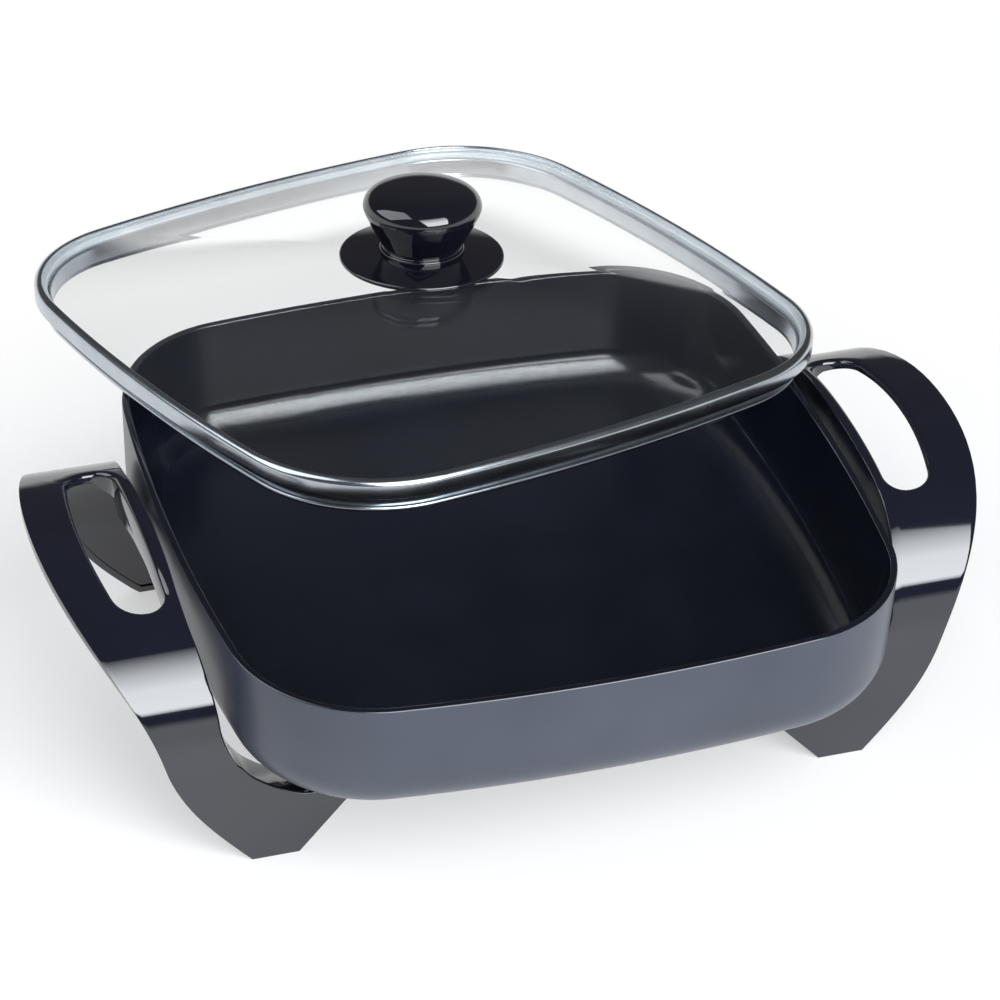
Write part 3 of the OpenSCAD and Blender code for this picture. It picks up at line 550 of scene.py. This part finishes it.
def pan_section():
    """Underside, outer round and wall, rim, inner wall and round, and floor."""
    flat = 12
    steps = 16
    outer = round_in(UNDER_Z, UNDER_R, 0, PAN_DRAFT)
    inner = round_in(FLOOR_Z, FLOOR_R, PAN_WALL, INNER_LEAN)
    edge = RIM_EDGE_R
    return ([Vector((-outer - flat, UNDER_Z))]
            + arc((-outer, UNDER_Z + UNDER_R), UNDER_R, -90, -PAN_DRAFT, steps)
            + arc((-edge - 0.03, RIM_Z - edge), edge, 0, 90, 5)
            + arc((-PAN_WALL + edge, RIM_Z - edge), edge, 90, 180, 5)
            + arc((-inner, FLOOR_Z + FLOOR_R), FLOOR_R, -INNER_LEAN, -90, steps)
            + [Vector((-inner - flat, FLOOR_Z))])


def ridge_path():
    """Middle of the ridge over the heating tube, from one tail round to the other."""
    bend = LOOP_HALF - LOOP_CORNER_R
    tail_y = PIN_GAP / 2
    start = Vector((BLOCK_X - BLOCK_T + 2, tail_y))
    path = [start] + arc((LOOP_HALF + TAIL_R, tail_y + TAIL_R), TAIL_R, 270, 180, 8)
    for x, y, angle in ((1, 1, 0), (-1, 1, 90), (-1, -1, 180), (1, -1, 270)):
        path += arc((x * bend, y * bend), LOOP_CORNER_R, angle, angle + 90, 16)
    path += arc((LOOP_HALF + TAIL_R, -tail_y - TAIL_R), TAIL_R, 180, 90, 8)
    return path + [Vector((start.x, -tail_y))]


def add_ridge(bm):
    """Sweeps the ridge's rounded section along its path."""
    half, top, edge = RIDGE_W / 2, UNDER_Z + 1, 1.5
    section = [(-half, top), (-half, RIDGE_Z + edge), (-half + edge * 0.3, RIDGE_Z + edge * 0.3),
               (-half + edge, RIDGE_Z), (half - edge, RIDGE_Z),
               (half - edge * 0.3, RIDGE_Z + edge * 0.3), (half, RIDGE_Z + edge), (half, top)]
    path = ridge_path()

    def place(i, k):
        ahead = path[min(k + 1, len(path) - 1)] - path[max(k - 1, 0)]
        across = Vector((-ahead.y, ahead.x)).normalized()
        flat = path[k] + across * section[i][0]
        return Vector((flat.x, flat.y, section[i][1]))

    for edges in grow_rings(bm, len(section), len(path), place):
        bmesh.ops.contextual_create(bm, geom=edges)


def lacquered_faces(bm):
    """Numbers of the faces outside the middle line of the pan's rim, and of those underneath."""
    bm.faces.index_update()
    low = math.sin(math.radians(40))
    outside = []
    for face in bm.faces:
        centre = face.calc_center_median()
        if centre.z < FLOOR_Z - 0.5 or face.normal.z < low and face.normal.dot(centre) > 0:
            outside.append(face.index)
    return outside


def make_pan(materials):
    bm = bmesh.new()
    sweep_outline(bm, outline_spots(PAN_HALF, PAN_CORNER_R, PAN_BOW), pan_section(), closed=False)
    add_ridge(bm)
    for x in (-LUG_X, LUG_X):
        for y in (-LUG_Y, LUG_Y):
            add_barrel(bm, (x, y, LUG_Z), LUG_R, UNDER_Z - LUG_Z + 1)
    add_block(bm, (BLOCK_X - BLOCK_T, -BLOCK_W / 2, BLOCK_Z),
              (BLOCK_X, BLOCK_W / 2, UNDER_Z + 1), 1.5)
    add_barrel(bm, (BOSS_X, 0, PIN_Z), BOSS_R, BOSS_LEN, axis="X", edge_r=1.2)
    add_block(bm, (BOSS_X, -BOSS_R, PIN_Z), (BOSS_X + BOSS_LEN, BOSS_R, UNDER_Z + 1), 0.6)
    tidy(bm)
    lacquered = lacquered_faces(bm)
    piece = make_piece("pan_shell", bm, "base", ["pan"], materials["pan_coating"])
    piece.data.materials.append(materials["pan_lacquer"])
    for index in lacquered:
        piece.data.polygons[index].material_index = 1


# --- Handles --------------------------------------------------------------------------------

LEAN = math.atan2(KNEE_IN, KNEE_Z)
LEG_LEN = math.hypot(KNEE_IN, KNEE_Z)
KNEE = Vector((FOOT_Y - KNEE_IN, KNEE_Z))
UP_LEG = Vector((-math.sin(LEAN), math.cos(LEAN)))
ARCH = [Vector((0, GRIP_Z)), Vector((SHOULDER_PULL, GRIP_Z)), KNEE + KNEE_PULL * UP_LEG, KNEE]


def arch_at(y):
    """The arch's parameter at a distance y from the middle."""
    low, high = 0.0, 1.0
    for _ in range(40):
        mid = (low + high) / 2
        if bezier(ARCH, mid).x < y:
            low = mid
        else:
            high = mid
    return (low + high) / 2


def arch_inward(t):
    """Direction from the arch's outer face into the shell, along Y and Z."""
    way = bezier_direction(ARCH, t)
    return Vector((way.y, -way.x))


def outer_x(t):
    return PAN_HALF + bezier(REACHES, t)


def clear_x(y, z):
    """X of the face that stands off the pan by the gap."""
    lean = math.radians(PAN_DRAFT)
    centre_z = UNDER_Z + UNDER_R
    if z > centre_z - UNDER_R * math.sin(lean):
        out = (z - RIM_Z) * math.tan(lean) + PAN_GAP / math.cos(lean)
    else:
        reach = (UNDER_R + PAN_GAP) ** 2 - (centre_z - z) ** 2
        out = math.sqrt(max(0, reach)) - round_in(UNDER_Z, UNDER_R, 0, PAN_DRAFT)
    big = ((PAN_HALF - PAN_CORNER_R) ** 2 + PAN_BOW ** 2) / (2 * PAN_BOW)
    back = big - PAN_HALF
    k = (math.sqrt(2 * (big - PAN_CORNER_R) ** 2 - back ** 2) - back) / 2
    if y < k:
        return math.sqrt((big + out) ** 2 - y * y) - back
    return k + math.sqrt((PAN_CORNER_R + out) ** 2 - (y - k) ** 2)


def edge_x(y, z):
    """X of the handle's edge beside the pan."""
    extra = between(GAP_BY_Y, y) if z > GAP_BY_Z[-1][0] else between(GAP_BY_Z, z)
    return clear_x(y, z) + extra


def arch_point(t, share, side):
    """A point on the arch's outer face, share of the way from its inner to its outer edge."""
    flat = bezier(ARCH, t)
    inner = edge_x(flat.x, flat.y)
    return Vector((inner + share * (outer_x(t) - inner), side * flat.x, flat.y))


def column(j, rows):
    """Share of the way across the grip of line j, where the first gap holds the edge's round."""
    return 0.13 + 0.87 * (j - 1) / (rows - 1) if j > 0 else 0.0


def slot_and_frame():
    """Pairs of points around the finger slot and around the stretch of the grip that holds it.
    A point is (x, y); the first pair lies at the middle of the slot's inner edge."""
    inner_c = (SLOT_LOW + SLOT_INNER_R, SLOT_END - SLOT_INNER_R)
    edge_c = (SLOT_HIGH - SLOT_EDGE_R, 0)
    outer_y = SLOT_END - SLOT_OUTER_R
    span = SLOT_EDGE_R - SLOT_OUTER_R
    outer_c = (edge_c[0] + math.sqrt(span ** 2 - outer_y ** 2), outer_y)
    swing = math.degrees(math.asin(outer_y / span))
    n = SLOT_STEPS
    slot = ([Vector((SLOT_LOW, inner_c[1] * i / n)) for i in range(n)]
            + arc(inner_c, SLOT_INNER_R, 180, 90, n)
            + arc(outer_c, SLOT_OUTER_R, 90, swing, n)
            + arc(edge_c, SLOT_EDGE_R, swing, 0, n)[1:])
    t = arch_at(SLOT_FRAME_Y)
    low, high = arch_point(t, 0, 1).x, arch_point(t, 1, 1).x
    rows = 2 * n + 1
    border = [Vector((arch_point(arch_at(SLOT_FRAME_Y * i / n), 0, 1).x, SLOT_FRAME_Y * i / n))
              for i in range(n)]
    border += [Vector((low + (high - low) * column(j, rows), SLOT_FRAME_Y))
               for j in range(rows + 1)]
    for i in range(n - 1, -1, -1):
        y = SLOT_FRAME_Y * i / n
        border.append(Vector((arch_point(arch_at(y), 1, 1).x, y)))
    pairs = list(zip(slot, border))
    flip = Vector((1, -1))
    return pairs + [(a * flip, b * flip) for a, b in reversed(pairs[1:-1])]


def into_grip(pairs):
    """Directions that lead from the slot's edge into the grip, one for each pair."""
    slot = [a for a, _ in pairs]
    ways = []
    for before, after in zip(slot[-1:] + slot[:-1], slot[1:] + slot[:1]):
        along = (after - before).normalized()
        ways.append(Vector((-along.y, along.x)))
    return ways


def leg_outline(side):
    """The leg's outline below the knee, from its outer to its inner edge."""
    edge = [Vector((PAN_HALF + REACHES[-1], LEG_LEN)),
            Vector((PAN_HALF + REACHES[-1] - KNEE_IN, LEG_LEN - 17)),
            Vector((FOOT_IN + FOOT_W + 19.4, 19.4)), Vector((FOOT_IN + FOOT_W, 0))]
    steps = 14
    flat = [bezier(edge, i / steps) for i in range(1, steps + 1)]
    flat += [Vector((FOOT_IN, 0)), Vector((LEG_IN, LEG_IN_Z))]
    top = through([(LEG_IN, LEG_IN_TOP), (119.6, 29.6), (133.3, 34.6), (144.6, 42.0),
                   (edge_x(KNEE.x, KNEE.y), KNEE.y)], 5)
    flat += [Vector((p.x, p.y / math.cos(LEAN))) for p in top[:-1]]
    return [Vector((x, side * (FOOT_Y - h * math.sin(LEAN)), h * math.cos(LEAN)))
            for x, h in flat]


def handle_sheet():
    """The outer face of the right handle, as a sheet: its slot, its arch and both legs."""
    bm = bmesh.new()
    spot = bm.verts.layers.int.new("spot")
    bm.edges.layers.float.new("bevel_weight_edge")
    pairs = slot_and_frame()
    ways = into_grip(pairs)
    shares = (0.22, 0.45, 0.72, 1)
    turn = [(1 - p.x, p.y - 1) for p in arc((0, 0), 1, 0, 90, 6)]
    roll = [(0, 0)] + [(SLOT_ROUND * out, SLOT_ROUND * up) for out, up in turn]

    def place(i, k):
        slot, border = pairs[i]
        out, up = roll[min(k, len(roll) - 1)]
        if k == 0:
            up = -between(SLOT_LIP_DEPTHS, slot.x)
        x, y = slot + ways[i] * out
        if k >= len(roll):
            x, y = Vector((x, y)).lerp(border, shares[k - len(roll)])
        return Vector((x, y, bezier(ARCH, arch_at(abs(y))).y + up))

    slot_edges, _ = grow_rings(bm, len(pairs), len(roll) + len(shares), place)
    slot_verts = {v for e in slot_edges for v in e.verts}
    rows = 2 * SLOT_STEPS + 1
    steps = 26
    start = arch_at(SLOT_FRAME_Y)
    for side in (1, -1):
        first = SLOT_STEPS if side == 1 else len(pairs) - SLOT_STEPS - rows

        def share_of(index):
            j = index - first
            return column(j if side == 1 else rows - j, rows)

        edges = [e for e in bm.edges if e.is_boundary and all(
            v not in slot_verts and abs(v.co.y - side * SLOT_FRAME_Y) < 0.01 for v in e.verts)]
        for k in range(1, steps + 1):
            t = start + (1 - start) * k / steps
            grown = bmesh.ops.extrude_edge_only(bm, edges=edges)["geom"]
            for vert in grown:
                if isinstance(vert, bmesh.types.BMVert):
                    vert.co = arch_point(t, share_of(vert[spot]), side)
            edges = new_edges(grown)
        knee_row = sorted({v for e in edges for v in e.verts}, key=lambda v: v.co.x)
        leg = [bm.verts.new(p) for p in leg_outline(side)]
        bm.faces.new(knee_row + leg)
    bmesh.ops.recalc_face_normals(bm, faces=bm.faces)
    if sum(f.normal.z for f in bm.faces) < 0:
        bmesh.ops.reverse_faces(bm, faces=bm.faces)
    return bm, slot_verts


def beside_pan(point):
    """Whether a point of the outer face's edge lies on the side of the pan."""
    y, z = abs(point.y), point.z
    if z > KNEE_Z - 0.01:
        return point.x < edge_x(y, z) + 1
    return z > LEG_IN_Z + 1 and point.x < PAN_HALF + REACHES[-1] - KNEE_IN - 20


def inward(point):
    """Direction into the shell at a point of the outer face's edge."""
    side = 1 if point.y > 0 else -1
    if point.z < 0.01:
        return Vector((0, -side / math.cos(LEAN), 0))
    way = arch_inward(arch_at(abs(point.y)) if point.z > KNEE_Z else 1)
    return Vector((0, side * way.x, way.y))


def settle(piece):
    """Puts the result of a piece's modifiers into its mesh."""
    graph = bpy.context.evaluated_depsgraph_get()
    mesh = bpy.data.meshes.new_from_object(piece.evaluated_get(graph))
    piece.modifiers.clear()
    return mesh


def handle_shell():
    """The right handle's shell: the sheet, its edges turned in, its thickness and its roundings."""
    bm, slot_verts = handle_sheet()
    weight = bm.edges.layers.float["bevel_weight_edge"]
    rest = [e for e in bm.edges if e.is_boundary and e.verts[0] not in slot_verts]
    for edge in rest:
        if all(beside_pan(v.co) for v in edge.verts):
            y = sum(abs(v.co.y) for v in edge.verts) / 2
            edge[weight] = between(((50, 0.3), (72, 1.0)), y)
    for vert in bmesh.ops.extrude_edge_only(bm, edges=rest)["geom"]:
        if isinstance(vert, bmesh.types.BMVert):
            depth = OUTER_LIP_DEPTH
            if beside_pan(vert.co):
                depth = between(PAN_LIP_DEPTHS, abs(vert.co.y))
            vert.co += inward(vert.co) * depth
            vert.co.z = max(vert.co.z, 0)
    mesh = bpy.data.meshes.new("handle sheet")
    bmesh.ops.scale(bm, vec=(MM, MM, MM), verts=bm.verts)
    bm.to_mesh(mesh)
    bm.free()
    sheet = bpy.data.objects.new("handle sheet", mesh)
    bpy.context.scene.collection.objects.link(sheet)
    turn = sheet.modifiers.new("edge beside the pan", "BEVEL")
    turn.width = PAN_SIDE_R * MM
    turn.segments = 5
    turn.limit_method = "WEIGHT"
    solid = sheet.modifiers.new("thickness", "SOLIDIFY")
    solid.thickness = SHELL_T * MM
    solid.offset = -1
    solid.use_even_offset = True
    solid.use_quality_normals = True
    edge = sheet.modifiers.new("edges", "BEVEL")
    edge.width = HANDLE_EDGE_R * MM
    edge.segments = 3
    edge.limit_method = "ANGLE"
    edge.angle_limit = math.radians(38)
    mesh = settle(sheet)
    bpy.data.objects.remove(sheet)
    return mesh


def add_towers(bm):
    """Screw towers under the pan, each with two ribs to its leg."""
    rib_t, rib_z = 3.0, 24.0
    for side in (-1, 1):
        add_barrel(bm, (LUG_X, side * LUG_Y, LUG_Z - TOWER_H), TOWER_R, TOWER_H)
        inner, outer = LUG_Y + 3, KNEE.x + 0.5
        low_y, high_y = (inner, outer) if side == 1 else (-outer, -inner)
        for x in (LUG_X - TOWER_R, LUG_X + TOWER_R - rib_t):
            add_block(bm, (x, low_y, rib_z), (x + rib_t, high_y, LUG_Z), 0.6)


def make_handles(materials):
    shell = handle_shell()
    for name, node, flip in (("right_grip", "right_handle", 1), ("left_grip", "left_handle", -1)):
        bm = bmesh.new()
        bm.from_mesh(shell)
        bmesh.ops.scale(bm, vec=(1 / MM,) * 3, verts=bm.verts)
        add_towers(bm)
        bmesh.ops.scale(bm, vec=(flip, 1, 1), verts=bm.verts)
        if flip < 0:
            bmesh.ops.reverse_faces(bm, faces=bm.faces)
        make_piece(name, bm, "base", [node], materials["handle_plastic"], 35)


# --- Lid -------------------------------------------------------------------------------------

def lid_spots():
    return outline_spots(LID_HALF, LID_CORNER_R, LID_BOW, 16, 26)


def make_lid_rim(materials):
    lip = -LIP_IN - 0.4
    inner = STEEL_T + 0.02
    section = filleted([
        (lip, -LIP_DOWN + 2 * LIP_ROLL_R, 0.5), (-LIP_IN, LEDGE_Z - 0.2, 0.9), (-0.2, LEDGE_Z, 1.2),
        (0, RIM_UP, BEAD_R), (-BEAD_R - 0.9, RIM_UP, 0.4), (-BEAD_R - 0.9, RIM_UP - STEEL_T, 0.3),
        (-inner, RIM_UP - STEEL_T, BEAD_R - STEEL_T), (-inner, LEDGE_Z + STEEL_T, 0.3),
        (-LIP_IN - STEEL_T, LEDGE_Z + STEEL_T, 1.2), (lip - STEEL_T, -LIP_DOWN + 1, 0.4)]
        ) + arc((lip - STEEL_T + LIP_ROLL_R, -LIP_DOWN + LIP_ROLL_R), LIP_ROLL_R, -150, 60, 10)
    bm = bmesh.new()
    sweep_outline(bm, lid_spots(), section)
    tidy(bm, place_lid())
    make_piece("lid_steel_rim", bm, "lid", ["lid_rim"], materials["rim_steel"])


def make_lid_seal(materials):
    out, low, high = -STEEL_T - 0.1, LEDGE_Z + STEEL_T, GLASS_TOP - GLASS_T
    inner = -LIP_IN + 0.8
    section = filleted([(out, low, 0.2), (out, high, 0.2), (inner, high, 0.6), (inner, low, 0.4)])
    bm = bmesh.new()
    sweep_outline(bm, lid_spots(), section)
    tidy(bm, place_lid())
    make_piece("lid_seal", bm, "lid", ["lid_gasket"], materials["seal_rubber"])


def dome(share):
    """Height of the glass above its edge, where share is 0 in the middle and 1 at the edge."""
    return GLASS_RISE * (1 - share * share) ** DOME_POWER


def make_glass_dome(materials):
    """The dome, whose rings follow the lid's outline and turn round towards the hole."""
    spots = lid_spots()
    least = GLASS_HOLE_R / LID_HALF
    shares = [1 - (1 - least) * k / GLASS_RINGS for k in range(GLASS_RINGS + 1)]
    loop = [(s, 0) for s in shares] + [(s, GLASS_T) for s in reversed(shares)] + [(1, 0)]

    def place(i, k):
        share, down = loop[k]
        centre, way, radius = spots[i]
        edge = centre + way * (radius - GLASS_EDGE)
        flat = edge * share
        if share < ROUND_SHARE:
            on_circle = edge.normalized() * LID_HALF * share
            flat = on_circle.lerp(flat, (share - least) / (ROUND_SHARE - least))
        return Vector((flat.x, flat.y, GLASS_TOP + dome(share) - down))

    bm = bmesh.new()
    grow_rings(bm, len(spots), len(loop), place)
    tidy(bm, place_lid())
    make_piece("lid_dome", bm, "lid", ["lid_glass"], materials["lid_glass"])


def make_knob(materials):
    top = CROWN_Z - SKIRT_CUP + SKIRT_T
    skirt = filleted([
        (GLASS_HOLE_R, CROWN_Z + SEAL_T, 0), (SEAL_R + 1, CROWN_Z + SEAL_T, 0.3),
        (SEAL_R + 1, CROWN_Z + 0.2, 0.3), (SKIRT_R, CROWN_Z - SKIRT_CUP, 0.8),
        (SKIRT_R, top, 0.9), (KNOB_FOOT_R + 2, KNOB_LOW - 0.3, 6.0), (KNOB_FOOT_R - 1, KNOB_LOW, 0),
        (GLASS_HOLE_R, KNOB_LOW, 0), (GLASS_HOLE_R, CROWN_Z + SEAL_T, 0)])
    bm = bmesh.new()
    spin_profile(bm, skirt, 128)
    tidy(bm, place_lid())
    make_piece("knob_disc", bm, "lid", ["knob_skirt"], materials["knob_plastic"])

    half = [(KNOB_FOOT_R, 0.0), (KNOB_FOOT_R, 0.045), (KNOB_FOOT_R - 0.4, 0.062),
            (KNOB_FOOT_R - 1.2, 0.075), (KNOB_FOOT_R - 1.1, 0.1), (21.2, 0.22), (23.4, 0.35),
            (25.3, 0.46), (27.0, 0.57), (28.0, 0.64), (KNOB_R, 0.705), (0.991 * KNOB_R, 0.765),
            (0.965 * KNOB_R, 0.82), (0.92 * KNOB_R, 0.87), (0.85 * KNOB_R, 0.914),
            (0.74 * KNOB_R, 0.95), (0.56 * KNOB_R, 0.979), (0.3 * KNOB_R, 0.995), (0, 1.0)]
    curve = through([(r, KNOB_LOW + share * KNOB_H) for r, share in half])
    bm = bmesh.new()
    spin_profile(bm, [(0, KNOB_LOW)] + [tuple(p) for p in curve], 128)
    tidy(bm, place_lid())
    make_piece("lid_knob", bm, "lid", ["knob"], materials["knob_plastic"], 60)


# --- Carried-over nodes ------------------------------------------------------------------------

def dress_nodes(materials):
    """Gives every CAD node that stays visible the material of its slot."""
    slots = {row["node"]: row["material_slot"] for row in frame["record"]["subparts"]}
    for name, node in frame["nodes"].items():
        node.data.materials.clear()
        node.data.materials.append(materials[slots[name]])


# --- Floor, lamps and world -------------------------------------------------------------------

def background_mask(tree):
    """1 for a ray that shows the background: to the camera, in a reflection or through glass."""
    rays = tree.nodes.new("ShaderNodeLightPath")
    seen = maths(tree, "MAXIMUM", rays.outputs["Is Camera Ray"], rays.outputs["Is Glossy Ray"])
    seen = maths(tree, "MAXIMUM", seen, rays.outputs["Is Transmission Ray"])
    direct = maths(tree, "LESS_THAN", rays.outputs["Diffuse Depth"], 0.5)
    return maths(tree, "MULTIPLY", seen, direct)


def make_floor():
    """A white floor that keeps the skillet's shadow, also in reflections and through glass."""
    bm = bmesh.new()
    bmesh.ops.create_grid(bm, x_segments=4, y_segments=4, size=FLOOR_REACH)
    mesh = bpy.data.meshes.new("floor")
    bm.to_mesh(mesh)
    bm.free()
    floor = bpy.data.objects.new("floor", mesh)
    bpy.context.scene.collection.objects.link(floor)
    material = bpy.data.materials.new("white floor")
    material.use_nodes = True
    material.cycles.emission_sampling = "NONE"
    tree = material.node_tree
    tree.nodes.remove(tree.nodes["Principled BSDF"])
    place = tree.nodes.new("ShaderNodeTexCoord").outputs["Object"]
    length = tree.nodes.new("ShaderNodeVectorMath")
    length.operation = "LENGTH"
    link(tree, place, length.inputs[0])
    share = ramp_of(tree, length.outputs["Value"], SHADOW_NEAR, SHADOW_FAR, FLOOR_GLOW, 1.0)
    matt = tree.nodes.new("ShaderNodeBsdfDiffuse")
    matt.inputs["Color"].default_value = (FLOOR_WHITE, FLOOR_WHITE, FLOOR_WHITE, 1)
    glow = tree.nodes.new("ShaderNodeEmission")
    glow.inputs["Strength"].default_value = 1.0
    mix = tree.nodes.new("ShaderNodeMixShader")
    link(tree, maths(tree, "MULTIPLY", background_mask(tree), share), mix.inputs["Fac"])
    link(tree, matt.outputs["BSDF"], mix.inputs[1])
    link(tree, glow.outputs["Emission"], mix.inputs[2])
    link(tree, mix.outputs["Shader"], tree.nodes["Material Output"].inputs["Surface"])
    mesh.materials.append(material)


def make_softbox(name, azimuth, elevation, distance, width, height, radiance, steps):
    """A rectangular softbox that faces the skillet. Azimuth 0 is in front, 90 to the right.
    steps gives its level at shares of its height, from its lower edge up."""
    a, e = math.radians(azimuth), math.radians(elevation)
    out = Vector((math.sin(a) * math.cos(e), -math.cos(a) * math.cos(e), math.sin(e)))
    data = bpy.data.lights.new(name, "AREA")
    data.shape = "RECTANGLE"
    data.size, data.size_y = width, height
    data.color = LAMP_COLOUR
    data.energy = radiance * math.pi * width * height
    data.use_nodes = True
    tree = data.node_tree
    where = tree.nodes.new("ShaderNodeNewGeometry")
    split = tree.nodes.new("ShaderNodeSeparateXYZ")
    ramp = tree.nodes.new("ShaderNodeValToRGB")
    elements = ramp.color_ramp.elements
    while len(elements) < len(steps):
        elements.new(0.5)
    for element, (share, level) in zip(elements, steps):
        element.position = share
        element.color = (level, level, level, 1)
    link(tree, where.outputs["Parametric"], split.inputs["Vector"])
    link(tree, split.outputs["Y"], ramp.inputs["Fac"])
    link(tree, ramp.outputs["Color"], tree.nodes["Emission"].inputs["Strength"])
    lamp = bpy.data.objects.new(name, data)
    bpy.context.scene.collection.objects.link(lamp)
    lamp.location = Vector((0, 0, AIM_Z * MM)) + out * distance
    lamp.rotation_euler = (-out).to_track_quat("-Z", "Y").to_euler()


def make_studio():
    """The floor, the lamps, and a dim world that is white at the horizon."""
    make_floor()
    make_softbox("front softbox", azimuth=13.5, elevation=44, distance=1.7, width=1.4,
                 height=1.81, radiance=8.6,
                 steps=((0.0, 0.3), (0.07, 1.0), (0.45, 0.95), (0.7, 0.6), (1.0, 0.05)))
    make_softbox("left softbox", azimuth=-107, elevation=47, distance=1.7, width=1.35,
                 height=1.6, radiance=2.3, steps=((0.0, 1.0), (1.0, 0.9)))
    world = bpy.data.worlds.new("studio")
    bpy.context.scene.world = world
    world.use_nodes = True
    world.cycles.sampling_method = "NONE"
    tree = world.node_tree
    split = tree.nodes.new("ShaderNodeSeparateXYZ")
    link(tree, tree.nodes.new("ShaderNodeTexCoord").outputs["Generated"], split.inputs["Vector"])
    horizon = ramp_of(tree, split.outputs["Z"], 0.0, HORIZON_TOP, 1.0 - SKY_LEVEL, 0.0)
    horizon = maths(tree, "MULTIPLY", background_mask(tree), horizon)
    background = tree.nodes["Background"]
    background.inputs["Color"].default_value = (1, 1, 1, 1)
    link(tree, maths(tree, "ADD", horizon, SKY_LEVEL), background.inputs["Strength"])
    bpy.context.scene.view_settings.view_transform = "Standard"


make_camera()
materials = make_materials()
dress_nodes(materials)
make_pan(materials)
make_handles(materials)
make_lid_rim(materials)
make_lid_seal(materials)
make_glass_dome(materials)
make_knob(materials)
make_studio()
